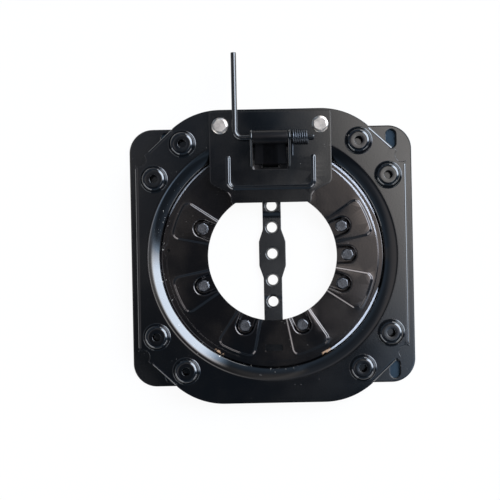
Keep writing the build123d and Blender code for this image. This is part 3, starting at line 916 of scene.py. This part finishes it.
def sector_line(inset):
    """The outline of a raised sector on the +X axis, moved inwards, from opening edge to opening edge.

    Its sides are lines beside the two limiting radii, its outer corners share one centre each, and
    its outer edge is an arc about the swivel axis.
    """
    limit = toward(-SECTOR_HALF_ANGLE)
    inward = toward(0.5 * np.pi - SECTOR_HALF_ANGLE)
    run = np.sqrt((SECTOR_REACH - SECTOR_CORNER) ** 2 - SECTOR_CORNER**2)
    centre = run * limit + SECTOR_CORNER * inward
    heading = heading_of(centre)
    share = np.linspace(0.0, 1.0, 12)[:, None]
    start = np.sqrt(OPENING**2 - inset**2)
    side = (start + (run - start) * share) * limit + inset * inward
    corner = arc(centre, SECTOR_CORNER - inset, -SECTOR_HALF_ANGLE - 0.5 * np.pi, heading, 12)
    edge = arc((0.0, 0.0), SECTOR_REACH - inset, heading, 0.0, 10)
    half = np.concatenate((side, corner[1:], edge[1:]))
    return np.concatenate((half, (half * (1.0, -1.0))[-2::-1]))


def pocket_line(half_width):
    """The outline of a bolt pocket on the +X axis: round the bolt and open to the central opening."""
    start = np.sqrt(OPENING**2 - half_width**2)
    share = np.linspace(0.0, 1.0, 6)[:, None]
    side = np.array((start, -half_width)) + share * np.array((CLAMP_CIRCLE - start, 0.0))
    end = arc((CLAMP_CIRCLE, 0.0), half_width, -0.5 * np.pi, 0.5 * np.pi, 25)
    return np.concatenate((side, end[1:], (side * (1.0, -1.0))[-2::-1]))


def opening_arc(start, stop, count):
    """Points between two angles on the central opening's edge, without its ends."""
    return arc((0.0, 0.0), OPENING, start, stop, count)[1:-1]


def pocket(top):
    """A bolt pocket's wall, rounded at its floor and its mouth, its floor, and its mouth's line."""
    levels = (POCKET_FLOOR, POCKET_FLOOR, top, top)
    wall = profile(np.column_stack((POCKET_WALL, levels)), POCKET_BENDS, 0.4 * MM)
    floor_line = pocket_line(wall[0, 0])
    end = heading_of(floor_line[-1])
    floor_loop = np.concatenate((floor_line, opening_arc(end, -end, 8)))
    patches = [stepped(pocket_line, wall[:, 0], wall[:, 1]), fill([floor_loop], POCKET_FLOOR)]
    return patches, pocket_line(wall[-1, 0])


class SWIVEL_OT_disc(bpy.types.Operator):
    """Presses the clamp disc: raised sectors, bolt pockets, lock slots and a rounded rim"""

    bl_idname = "swivel.disc"
    bl_label = "Clamp disc"

    def execute(self, context):
        form = context.scene.swivel_form
        share = np.linspace(0.0, 1.0, 9)
        insets = form.sector_run * (share - SECTOR_OUTSIDE)
        sector_step = stepped(sector_line, insets, DISC_TOP + SECTOR_RISE * smooth(share))
        foot_line, top_line = sector_line(insets[0]), sector_line(insets[-1])
        raised_pocket, mouth = pocket(SECTOR_TOP)
        low_pocket, low_mouth = pocket(DISC_TOP)
        end, mouth_end = heading_of(top_line[-1]), heading_of(mouth[-1])
        top_loop = np.concatenate(
            (top_line, opening_arc(end, mouth_end, 5), mouth[::-1], opening_arc(-mouth_end, -end, 5))
        )
        sector = [sector_step, fill([top_loop], SECTOR_TOP), *raised_pocket]
        patches = [(spun(points, turn), faces) for turn in SECTOR_TURNS for points, faces in sector]
        patches += low_pocket

        foot_end, low_end = heading_of(foot_line[-1]), heading_of(low_mouth[-1])
        inner = [low_mouth, opening_arc(low_end, SECTOR_TURNS[0] - foot_end, 7)]
        for start, following in zip(SECTOR_TURNS, SECTOR_TURNS[1:]):
            inner += [spun(foot_line, start), opening_arc(start + foot_end, following - foot_end, 12)]
        last = SECTOR_TURNS[-1]
        inner += [spun(foot_line, last), opening_arc(last + foot_end, 2.0 * np.pi - low_end, 7)]

        ring_top = DISC_TOP - form.ring_drop
        rim = profile(
            (
                (RIM, ring_top - form.rim_drop),
                (RIM - form.rim_run, ring_top),
                (RING_STEP + RING_STEP_HALF, ring_top),
                (RING_STEP - RING_STEP_HALF, DISC_TOP),
                (RING_STEP - RING_STEP_START, DISC_TOP),
            ),
            RIM_BENDS,
            0.12 * MM,
        )
        circle = unit_circle(RIM_STEPS)
        off_grease = heading_of(spun(circle, -GREASE_ANGLE).T)
        jog = GREASE_JOG * np.exp(-((off_grease / GREASE_SPREAD) ** 4))
        spread = rim[:, :1] + np.where(rim[:, :1] < RING_STEP + 2.0 * RING_STEP_HALF, jog, 0.0)
        flat = spread[..., None] * circle
        holes = [GREASE_CIRCLE * toward(GREASE_ANGLE) + GREASE_RADIUS * unit_circle(24)]
        for place in (LOCK_CIRCLE, -LOCK_CIRCLE):
            corners = CORNERS * 0.5 * LOCK_SLOT + (0.0, place)
            holes.append(spaced(rounded(corners, (LOCK_SLOT_CORNER,) * 4, 0.4 * MM), 2.5 * MM))
        borders, mouths = zip(*(framed(hole, HOLE_MARGIN, DISC_TOP) for hole in holes))
        patches += [*borders, grid(raised(flat, rim[:, 1]), True)]
        patches.append(fill([flat[-1], np.concatenate(inner), *mouths], DISC_TOP))

        finish = context.scene.swivel_finish
        ring_marks = [("Ring Wear", finish.chip, RIM_CHIPS)]
        # Painted highlights: bright arcs on the rim and ring step, where these would catch the light
        for inset, half_width, heading, reach, share in PAINTED_HIGHLIGHT_ARCS:
            mark = {"Radius": RIM - inset * MM, "Width": half_width * MM, "Share": share}
            mark |= {"Toward": compass(heading), "Narrow": np.cos(np.radians(reach))}
            ring_marks.append(("Painted Highlight Arc", finish.painted_highlight, mark))
        for heading in SMEAR_HEADINGS:
            ring_marks.append(("Ring Wear", finish.grease, {**SMEAR, "Toward": compass(heading)}))
        coat = coat_material("clamp disc coat", finish, gloss=0.06, brown=0.8, ring_marks=ring_marks, sheen=WARM)
        piece = make_piece(
            "clamp_disc_sheet", patches, coat, "base", ["clamp_disc"], GAUGE, form.cut_round, clamp=True
        )
        return {"FINISHED"}


class SWIVEL_OT_strap(bpy.types.Operator):
    """Forms the cross strap: joggled strip with a wide middle and funnelled holes"""

    bl_idname = "swivel.strap"
    bl_label = "Cross strap"

    def execute(self, context):
        end, wide = STRAP_HIGH.y, STRAP_WIDE_LENGTH
        right = np.array(
            (
                (STRAP_HALF_WIDTH, -end),
                (STRAP_HALF_WIDTH, STRAP_SHIFT - wide - STRAP_TAPER),
                (STRAP_WIDE_HALF, STRAP_SHIFT - wide),
                (STRAP_WIDE_HALF, STRAP_SHIFT + wide),
                (STRAP_HALF_WIDTH, STRAP_SHIFT + wide + STRAP_TAPER),
                (STRAP_HALF_WIDTH, end),
            )
        )
        outline = spaced(rounded(mirrored(right), STRAP_ROUNDS, 1.2 * MM), 2.0 * MM)
        border, edge = framed(outline, -STRAP_MARGIN, 0.0)
        funnel = profile(FUNNEL, FUNNEL_BENDS, 0.3 * MM)
        middles = [np.array((0.0, STRAP_SHIFT + place)) for place in STRAP_HOLES]
        mouths = [middle + unit_circle(FUNNEL_STEPS) * funnel[0, 0] for middle in middles]
        across, along = np.meshgrid(np.linspace(-9.0, 9.0, 5) * MM, np.arange(-104.0, 105.0, 2.0) * MM)
        loose = np.column_stack((across.ravel(), along.ravel()))
        clear = np.min([np.linalg.norm(loose - middle, axis=1) for middle in middles], axis=0) > STRAP_CLEAR
        patches = [border, *(turned(funnel, FUNNEL_STEPS, middle) for middle in middles)]
        patches.append(fill([edge, *mouths], 0.0, loose[clear]))
        formed = []
        for points, faces in patches:
            share = np.clip((np.abs(points[:, 1]) - STRAP_JOGGLE[0]) / np.ptp(STRAP_JOGGLE), 0.0, 1.0)
            lift = STRAP_HIGH.z - STRAP_DROP * (1.0 - smooth(share))
            formed.append((points + np.outer(lift, (0.0, 0.0, 1.0)), faces))
        coat = coat_material("strap coat", context.scene.swivel_finish, gloss=0.17)
        cut = context.scene.swivel_form.cut_round
        piece = make_piece("strap_sheet", formed, coat, "base", ["cross_strap"], GAUGE, cut)
        return {"FINISHED"}


def turntable_outline(step):
    """The turntable's outline and, for each of its points, whether the edge is turned down there.

    A quarter runs up the side, round the corner notch, along the slanted edge and its large round to
    the end's middle, and is mirrored to the other quarters.
    """
    corner = np.array((HALF_WIDTH, HALF_DEPTH - CORNER_CUT[1]))
    knee = np.array((HALF_WIDTH - CORNER_CUT[0], HALF_DEPTH))
    reach = np.linalg.norm(knee - corner)
    slant = (knee - corner) / reach
    heading = heading_of(slant)
    notch = corner + slant * NOTCH_SETBACK
    below = np.sqrt(NOTCH_RADIUS**2 - (HALF_WIDTH - notch[0]) ** 2)
    start = np.arctan2(-below, HALF_WIDTH - notch[0])
    side = spaced(np.array(((HALF_WIDTH, 0.0), (HALF_WIDTH, notch[1] - below))), step, closed=False)
    relief = arc(notch, NOTCH_RADIUS, start, heading - 2.0 * np.pi, 14)
    end = profile((notch + slant * NOTCH_RADIUS, knee, (0.0, HALF_DEPTH)), (CORNER_ROUND,), step)
    quarter = np.concatenate((side, relief[1:], spaced(end, step, closed=False)[1:]))
    along = (quarter - corner) @ slant
    off_line = np.abs((quarter - corner) @ np.array((slant[1], -slant[0])))
    bend_start = NOTCH_SETBACK + NOTCH_RADIUS + LIP_LAND
    bend_stop = reach - CORNER_ROUND * np.tan(0.5 * (np.pi - heading))
    lipped = (quarter[:, 1] < corner[1] - LIP_LAND) & (quarter[:, 0] > HALF_WIDTH - 0.01 * MM)
    lipped |= (off_line < 0.05 * MM) & (along > bend_start) & (along < bend_stop)
    half = np.concatenate((quarter, (quarter * (-1.0, 1.0))[-2::-1]))
    half_lipped = np.concatenate((lipped, lipped[-2::-1]))
    outline = np.concatenate((half, -half[1:-1]))
    lipped = np.concatenate((half_lipped, half_lipped[1:-1]))
    shift = 1 - len(quarter)
    return np.roll(outline, shift, axis=0), np.roll(lipped, shift)


def boss_places():
    """Middles of the seat bosses, from the two bolt patterns of the frame's record."""
    signs = np.array(((-1, -1), (-1, 1), (1, -1), (1, 1)))
    sizes = [MOUNTS[name]["dims"] for name in ("seat_bolts_near", "seat_bolts_wide")]
    spans = [np.array((size["spacing_x_mm"], size["spacing_y_mm"])) * MM for size in sizes]
    return np.concatenate([signs * span / 2.0 for span in spans])


class SWIVEL_OT_turntable(bpy.types.Operator):
    """Presses the turntable: flat sheet, dished ring, seat bosses and turned-down edges"""

    bl_idname = "swivel.turntable"
    bl_label = "Turntable"

    def execute(self, context):
        form = context.scene.swivel_form
        finish = context.scene.swivel_finish
        line, lipped = turntable_outline(2.4 * MM)
        bend = form.lip_bend
        normals = side_normals(line)
        edge = line + normals * np.where(lipped, -bend, 0.0)[:, None]
        inner = line + normals * np.where(lipped, -bend - LIP_MARGIN, -TABLE_MARGIN)[:, None]
        turn = np.linspace(0.5 * np.pi, 0.0, 7)
        lip_offsets = np.concatenate((np.zeros(3), bend * (np.sin(turn) - 1.0)))
        lip_drops = np.concatenate((np.linspace(-LIP_DEPTH, -bend, 4)[:3], bend * (np.cos(turn) - 1.0)))
        patches = [grid(raised(np.array((edge, inner)), TABLE_TOP), True)]
        for run in np.split(np.arange(len(line)), np.flatnonzero(np.diff(lipped)) + 1):
            if lipped[run[0]]:
                patches.append(band(line[run], lip_offsets, TABLE_TOP + lip_drops, closed=False))

        upper = ((DISH_START, TABLE_TOP), (DISH_TOP, TABLE_TOP), DISH_BROW)
        lower = ((DISH_FOOT, LIP_TOP), (DISH_INNER, LIP_TOP))
        dish = profile((*upper, *lower), (form.dish_shoulder, form.dish_brow, form.dish_root), 0.7 * MM)
        top = TABLE_HIGH.z
        hole = MOUNTS["seat_bolts_near"]["dims"]["hole_r_mm"] * MM
        wall = ((BOSS_START, TABLE_TOP), (BOSS_FOOT, TABLE_TOP), (BOSS_CROWN, top), (hole, top))
        boss = profile(wall, (form.boss_root, form.boss_shoulder), 0.4 * MM)
        places = boss_places()
        ring = unit_circle(RING_STEPS) * dish[0, 0]
        feet = [place + unit_circle(BOSS_STEPS) * boss[0, 0] for place in places]
        patches += [turned(dish, RING_STEPS), fill([inner, ring, *feet], TABLE_TOP)]
        patches += [turned(boss, BOSS_STEPS, place) for place in places]
        dust = {**DISH_DUST, "Toward": compass(DISH_DUST_HEADING)}
        ring_marks = [("Ring Wear", finish.chip, mark) for mark in (DISH_SCUFFS, dust)]
        coat = coat_material("turntable coat", finish, gloss=0.06, brown=0.25, ring_marks=ring_marks)
        piece = make_piece(
            "turntable_sheet", patches, coat, "turntable", ["turntable_plate"], GAUGE, form.cut_round
        )
        return {"FINISHED"}


def bead_patch(height):
    """A raised U-shaped bead: loops about its middle line, drawn in from its foot to its crest.

    Each loop keeps one distance from the line, with half circles round its ends; the crest's height
    follows a raised cosine of that distance.
    """
    low = LATCH_LOW.y + BEAD_SETBACK
    right = np.array(((BEAD_HALF_SPAN, low), (BEAD_HALF_SPAN, low + BEAD_LEG)))
    line = profile(np.roll(mirrored(right), 2, axis=0), (BEAD_CORNER, BEAD_CORNER), 1.0 * MM)
    line = spaced(line, 2.0 * MM, closed=False)
    normals = side_normals(line, closed=False)
    cap = np.linspace(0.0, np.pi, 13)[1:-1]
    ends = []
    for outward in (normals[-1], -normals[0]):
        ahead = np.array((-outward[1], outward[0]))
        ends.append(np.cos(cap)[:, None] * outward + np.sin(cap)[:, None] * ahead)
    stop, start = (np.repeat(line[index][None], len(cap), axis=0) for index in (-1, 0))
    centre = np.concatenate((line, stop, line[::-1], start))
    spoke = np.concatenate((normals, ends[0], -normals[::-1], ends[1]))
    share = np.linspace(1.0, 0.0, 8)
    flat = centre + spoke * (share * BEAD_HALF_WIDTH)[:, None, None]
    rise = LATCH_TOP + height * 0.5 * (1.0 + np.cos(np.pi * share))
    return grid(raised(flat, rise), True), flat[0]


class SWIVEL_OT_latch_plate(bpy.types.Operator):
    """Forms the latch plate: waisted plate with a bead, a window and two upright ears"""

    bl_idname = "swivel.latch_plate"
    bl_label = "Latch plate"

    def execute(self, context):
        form = context.scene.swivel_form
        nose, back, wide = LATCH_LOW.y, LATCH_HIGH.y, LATCH_HIGH.x
        levels = (nose, nose + NECK, nose + SHOULDER, back)
        right = np.column_stack(((NOSE_HALF_WIDTH, NOSE_HALF_WIDTH, wide, wide), levels))
        outline = spaced(rounded(mirrored(right), LATCH_ROUNDS, 0.8 * MM), 3.0 * MM)
        window = rounded(WINDOW_MIDDLE + CORNERS * WINDOW_HALF, (WINDOW_CORNER,) * 4, 0.5 * MM)
        border, edge = framed(outline, -LATCH_MARGIN, LATCH_TOP)
        window_border, window_edge = framed(spaced(window, 3.0 * MM), WINDOW_MARGIN, LATCH_TOP)
        bead, bead_foot = bead_patch(form.bead_height)
        patches = [border, window_border, bead, fill([edge, window_edge, bead_foot], LATCH_TOP)]
        coat = coat_material("latch plate coat", context.scene.swivel_finish, gloss=0.06)
        cut = 0.5 * form.cut_round
        plate = make_piece(
            "latch_plate_sheet", patches, coat, "turntable", ["latch_plate"], LATCH_GAUGE, cut
        )

        foot = LATCH_TOP + EAR_FOOT
        sight = np.array((EAR_FRONT - SHAFT.y, foot - SHAFT.z))
        touch = heading_of(sight) + 2.0 * np.pi - np.arccos(EAR_RADIUS / np.linalg.norm(sight))
        bottom = ((EAR_FRONT, EAR_SUNK), (SHAFT.y + EAR_RADIUS, EAR_SUNK))
        round_end = arc((SHAFT.y, SHAFT.z), EAR_RADIUS, 0.0, touch, 28)
        ear = spaced(np.concatenate((bottom, round_end, ((EAR_FRONT, foot),))), 3.0 * MM)
        shapes = [
            placed(patch, SIDEWAYS, (side * EAR_MIDDLE, 0.0, 0.0))
            for side in (-1, 1)
            for patch in slab(ear, LATCH_GAUGE, EAR_EDGE)
        ]
        ears = make_piece("latch_ears", shapes, coat, "turntable", ["latch_plate"], sharp=50.0)
        return {"FINISHED"}


class SWIVEL_OT_pawl(bpy.types.Operator):
    """Forms the lock pawl: a rolled barrel with a blade bent down into a tooth"""

    bl_idname = "swivel.pawl"
    bl_label = "Lock pawl"

    def execute(self, context):
        radii = (BARREL_BORE, BARREL_RADIUS, BARREL_RADIUS, BARREL_BORE)
        places = BARREL_HALF * np.array((-1, -1, 1, 1))
        barrel = rounded(np.column_stack((radii, places)), BARREL_ROUNDS, 0.25 * MM)
        barrel = np.concatenate((barrel, barrel[:1]))
        shapes = [placed(turned(barrel, 64), SIDEWAYS, SHAFT)]
        hinge = np.array((SHAFT.y - ROD_RADIUS, SHAFT.z - 0.5 * ROD_RADIUS))
        knee = np.array((BLADE_FRONT, TABLE_TOP + BLADE_RISE))
        tip = np.array((BLADE_FRONT - TOOTH_SLANT, TOOTH_TIP))
        for line, half in ((np.array((knee, hinge)), BLADE_HALF), (np.array((tip, knee, hinge)), TOOTH_HALF)):
            below = line + BLADE_GAUGE * side_normals(line, closed=False)
            if below[0, 1] < TOOTH_TIP:
                rise = below[1] - below[0]
                below[0] += rise * (TOOTH_TIP - below[0, 1]) / rise[1]
            loop = spaced(np.concatenate((below, line[::-1])), 2.0 * MM)
            shapes += [placed(patch, SIDEWAYS) for patch in slab(loop, 2.0 * half, BLADE_EDGE)]
        coat = coat_material("pawl coat", context.scene.swivel_finish, gloss=0.36, sheen=DULL)
        piece = make_piece("pawl_body", shapes, coat, "latch", ["lock_pawl"], sharp=40.0)
        return {"FINISHED"}


class SWIVEL_OT_lever(bpy.types.Operator):
    """Bends the release lever from one round rod"""

    bl_idname = "swivel.lever"
    bl_label = "Release lever"

    def execute(self, context):
        low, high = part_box("release_lever")
        bend = low.x + ROD_RADIUS
        corners = ((high.x - ROD_CAP, SHAFT.y), (bend, SHAFT.y), (bend, high.y - ROD_CAP))
        flat = spaced(profile(corners, (ELBOW,), 0.8 * MM), 6.0 * MM, closed=False)
        rod = tube(raised(flat, SHAFT.z), ROD_RADIUS, 36, ROD_CAP)
        coat = coat_material("lever coat", context.scene.swivel_finish, gloss=0.16)
        piece = make_piece("lever_rod", [rod], coat, "latch", ["release_lever"])
        return {"FINISHED"}


class SWIVEL_OT_spring(bpy.types.Operator):
    """Winds the return spring round the shaft, with a leg on the plate and a hook at the rod"""

    bl_idname = "swivel.spring"
    bl_label = "Return spring"

    def execute(self, context):
        turns = context.scene.swivel_form.spring_turns
        wind = np.linspace(0.0, 2.0 * np.pi * turns, 28 * turns + 1)
        coil = np.column_stack(
            (
                COIL_START + COIL_PITCH * wind / (2.0 * np.pi),
                SHAFT.y + COIL_RADIUS * np.sin(wind),
                SHAFT.z - COIL_RADIUS * np.cos(wind),
            )
        )
        leg_end = np.array((COIL_START, SPRING_LOW.y + LEG_INSET, LATCH_TOP + WIRE_RADIUS + LEG_GAP))
        leg = leg_end + np.linspace(0.0, 1.0, 12)[:-1, None] * (coil[0] - leg_end)
        hook = arc((SHAFT.y, coil[-1, 2] + HOOK_RADIUS), HOOK_RADIUS, -0.5 * np.pi, 0.0, 8)[1:]
        hook = np.concatenate((hook, ((hook[-1, 0], SHAFT.z - HOOK_END),)))
        hook = np.column_stack((np.full(len(hook), coil[-1, 0]), hook))
        wire = tube(np.concatenate((leg, coil, hook)), WIRE_RADIUS, 12, WIRE_CAP)
        steel = metal_material("spring wire", context.scene.swivel_finish.spring_steel, 0.34, 0.08)
        piece = make_piece("spring_coil", [wire], steel, None, ["return_spring"])
        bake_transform(piece)
        return {"FINISHED"}


class SWIVEL_OT_bolts(bpy.types.Operator):
    """Forges the flanged hex bolts of the clamp disc and of the latch plate"""

    bl_idname = "swivel.bolts"
    bl_label = "Bolts"

    def execute(self, context):
        finish = context.scene.swivel_finish
        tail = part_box("clamp_bolts")[0].z
        heads = []
        for number, angle in enumerate((*SECTOR_TURNS, 0.0)):
            centre, turn = CLAMP_CIRCLE * toward(angle), CLAMP_HEAD_TURN * number
            heads.append(hex_bolt(centre, POCKET_FLOOR, CLAMP_HEAD_HEIGHT, CLAMP_HEAD, tail, turn))
        dark = metal_material("clamp bolt steel", finish.dark_steel, 0.3, 0.08)
        piece = make_piece("clamp_bolt_set", heads, dark, "base", ["clamp_bolts"], sharp=32.0)
        low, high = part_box("latch_bolts")
        height = high.z - LATCH_TOP
        heads = [
            hex_bolt(LATCH_BOLT * (side, 1.0), LATCH_TOP, height, LATCH_HEAD, low.z, turn)
            for side, turn in LATCH_HEAD_TURNS
        ]
        zinc = metal_material("zinc plate", finish.zinc, 0.36, 0.08)
        piece = make_piece("latch_bolt_pair", heads, zinc, "turntable", ["latch_bolts"], sharp=32.0)
        for name, material in (("latch_nuts", zinc), ("clamp_nuts", dark)):
            frame["nodes"][name].material_slots[0].material = material
        return {"FINISHED"}


class SWIVEL_OT_pads(bpy.types.Operator):
    """Gives the hidden glide pads their nylon"""

    bl_idname = "swivel.pads"
    bl_label = "Glide pads"

    def execute(self, context):
        nylon = nylon_material("glide nylon", context.scene.swivel_finish.nylon)
        for name in ("lower_glide_pads", "upper_glide_pads"):
            frame["nodes"][name].material_slots[0].material = nylon
        return {"FINISHED"}


def floor_material():
    """Pale floor, white to the camera and in reflections, with painted shade under the base plate: a near-black
    colour there, seen through the base plate's slots.

    The painted shade covers the base plate's rounded outline without the round opening.
    """
    material, vector = new_material("studio floor")
    tree = material.node_tree
    tree.nodes.remove(tree.nodes["Principled BSDF"])
    x, y, _ = vector.split()
    past_x = (abs(x) - (BASE_HIGH.x - BASE_CORNER)).math("MAXIMUM", 0.0)
    past_y = (abs(y) - (BASE_HIGH.y - BASE_CORNER)).math("MAXIMUM", 0.0)
    corner = (past_x * past_x + past_y * past_y).math("SQRT")
    outside = corner.ramp(BASE_CORNER - 2.0 * MM, BASE_CORNER - 0.5 * MM)
    within = vector.vector_math("LENGTH", "Value").ramp(OPENING, OPENING + 6.0 * MM, 1.0, 0.0)
    open_floor = outside.math("MAXIMUM", within)
    # Painted shade: the floor is near black inside the base plate's outline, so the slots show dark
    shade = mix_colour(open_floor, FLOOR_PAINTED_SHADE, FLOOR_PALE)
    paper = wired(tree, "ShaderNodeBsdfDiffuse", "BSDF", {"Color": shade})
    white = wired(tree, "ShaderNodeEmission", "Emission", {})
    rays = tree.nodes.new("ShaderNodeLightPath").outputs
    seen = Wire(tree, rays["Is Camera Ray"])
    for name in ("Is Glossy Ray", "Is Transmission Ray"):
        seen = seen.math("MAXIMUM", Wire(tree, rays[name]))
    layers = {"Fac": seen * open_floor * FLOOR_WHITENESS, 1: paper, 2: white}
    surface = wired(tree, "ShaderNodeMixShader", "Shader", layers)
    feed(tree, tree.nodes["Material Output"].inputs["Surface"], surface)
    return material


def room_world(stage):
    """A dim room: a ceiling lit to the upper right, a window, a paler left and a band above the horizon.

    The camera sees plain white in its place.
    """
    world = bpy.data.worlds.new("room")
    world.use_nodes = True
    tree = world.node_tree
    x, y, z = wired(tree, "ShaderNodeTexCoord", "Generated", {}).split()
    slide = x + y * CEILING_SLANT
    ceiling = slide.ramp(*CEILING_START) * slide.ramp(*CEILING_STOP)
    ceiling = ceiling * abs(y).ramp(*CEILING_REACH) * z.ramp(*CEILING_RISE)
    horizon = z.ramp(*HORIZON_START) * z.ramp(*HORIZON_STOP)
    window = abs(y.math("ARCTAN2", x) - WINDOW_HEADING).ramp(*WINDOW_SPREAD)
    window = window * z.ramp(*WINDOW_START) * z.ramp(*WINDOW_STOP)
    left = (x - y * LEFT_SLANT).ramp(*LEFT_START) * z.ramp(*LEFT_RISE) * abs(y).ramp(*LEFT_REACH)
    level = ceiling * stage.ceiling_level + stage.room_level
    level = level + horizon * stage.horizon_level + window * stage.window_level + left * stage.left_level
    warm = y.ramp(*WARM_SIDE) * slide.ramp(*WARM_START) * z.ramp(*WARM_RISE)
    colour = mix_colour(abs(y).ramp(*OUTER_SIDE), CEILING_LIGHT, OUTER_LIGHT)
    seen = wired(tree, "ShaderNodeLightPath", "Is Camera Ray", {})
    lights = ((warm, WARM_LIGHT), (left, LEFT_LIGHT), (window, WINDOW_LIGHT), (seen, WHITE))
    for share, light in lights:
        colour = mix_colour(share, colour, light)
    background = tree.nodes["Background"]
    feed(tree, background.inputs["Color"], colour)
    feed(tree, background.inputs["Strength"], (level * (1.0 - seen)).math("MAXIMUM", seen))
    return world


def low_panel(name, heading, half_spread, level):
    """A panel round part of the horizon, between two elevations, that points at the object.

    Its power is its brightness times pi times its area.
    """
    lamp = bpy.data.lights.new(name, "AREA")
    lamp.shape = "RECTANGLE"
    lamp.size = 2.0 * PANEL_REACH * np.tan(half_spread)
    lamp.size_y = PANEL_REACH * (PANEL_HIGH - PANEL_LOW)
    lamp.energy = level * np.pi * lamp.size * lamp.size_y
    lamp.color = PANEL_LIGHT
    holder = bpy.data.objects.new(name, lamp)
    rise = DISC_TOP + 0.5 * PANEL_REACH * (PANEL_HIGH + PANEL_LOW)
    holder.location = (*PANEL_REACH * toward(heading), rise)
    aim = Vector((0.0, 0.0, DISC_TOP)) - holder.location
    holder.rotation_euler = aim.to_track_quat("-Z", "Y").to_euler()
    holder.visible_camera = False
    bpy.context.scene.collection.objects.link(holder)


class SWIVEL_OT_stage(bpy.types.Operator):
    """Lays the floor and sets the room, the lights and the camera"""

    bl_idname = "swivel.stage"
    bl_label = "Stage"

    def execute(self, context):
        stage = context.scene.swivel_stage
        mesh = bpy.data.meshes.new("studio_floor")
        corners = raised(CORNERS * FLOOR_HALF, -FLOOR_DROP)
        mesh.from_pydata(corners.tolist(), [], [(0, 1, 2, 3)])
        mesh.materials.append(floor_material())
        floor = bpy.data.objects.new("studio_floor", mesh)
        context.scene.collection.objects.link(floor)
        context.scene.world = room_world(stage)
        for name, heading, half_spread, share in PANELS:
            low_panel(name, np.radians(heading), np.radians(half_spread), share * stage.panel_level)

        lens = bpy.data.cameras.new("camera")
        lens.sensor_fit = "HORIZONTAL"
        lens.angle = 2.0 * np.arctan(0.5 * stage.view_width / stage.camera_height)
        lens.shift_x, lens.shift_y = stage.shift
        camera = bpy.data.objects.new("camera", lens)
        camera.location = (0.0, 0.0, TABLE_TOP + stage.camera_height)
        camera.rotation_euler = (0.0, 0.0, stage.roll)
        context.scene.collection.objects.link(camera)
        context.scene.camera = camera
        context.scene.view_settings.view_transform = "Standard"
        return {"FINISHED"}


PIECES = (
    SWIVEL_OT_base,
    SWIVEL_OT_disc,
    SWIVEL_OT_strap,
    SWIVEL_OT_turntable,
    SWIVEL_OT_latch_plate,
    SWIVEL_OT_pawl,
    SWIVEL_OT_lever,
    SWIVEL_OT_spring,
    SWIVEL_OT_bolts,
    SWIVEL_OT_pads,
    SWIVEL_OT_stage,
)


class SWIVEL_PT_sidebar(bpy.types.Panel):
    """Lists the pieces and their settings"""

    bl_idname = "SWIVEL_PT_sidebar"
    bl_label = "Swivel Base"
    bl_space_type = "VIEW_3D"
    bl_region_type = "UI"
    bl_category = "Swivel Base"

    def draw(self, context):
        for settings in (context.scene.swivel_form, context.scene.swivel_finish, context.scene.swivel_stage):
            box = self.layout.box()
            for name in settings.__annotations__:
                box.prop(settings, name)
        for piece in PIECES:
            self.layout.operator(piece.bl_idname)


CLASSES = (SwivelForm, SwivelFinish, SwivelStage, *PIECES, SWIVEL_PT_sidebar)


def register():
    """Registers the classes and the scene's settings."""
    for item in CLASSES:
        bpy.utils.register_class(item)
    bpy.types.Scene.swivel_form = PointerProperty(type=SwivelForm)
    bpy.types.Scene.swivel_finish = PointerProperty(type=SwivelFinish)
    bpy.types.Scene.swivel_stage = PointerProperty(type=SwivelStage)


def unregister():
    """Removes the settings and the classes."""
    del bpy.types.Scene.swivel_form
    del bpy.types.Scene.swivel_finish
    del bpy.types.Scene.swivel_stage
    for item in reversed(CLASSES):
        bpy.utils.unregister_class(item)


def main():
    """Dresses the whole object."""
    register()
    bpy.ops.swivel.base()
    bpy.ops.swivel.disc()
    bpy.ops.swivel.strap()
    bpy.ops.swivel.turntable()
    bpy.ops.swivel.latch_plate()
    bpy.ops.swivel.pawl()
    bpy.ops.swivel.lever()
    bpy.ops.swivel.spring()
    bpy.ops.swivel.bolts()
    bpy.ops.swivel.pads()
    bpy.ops.swivel.stage()


if __name__ == "__main__":
    main()
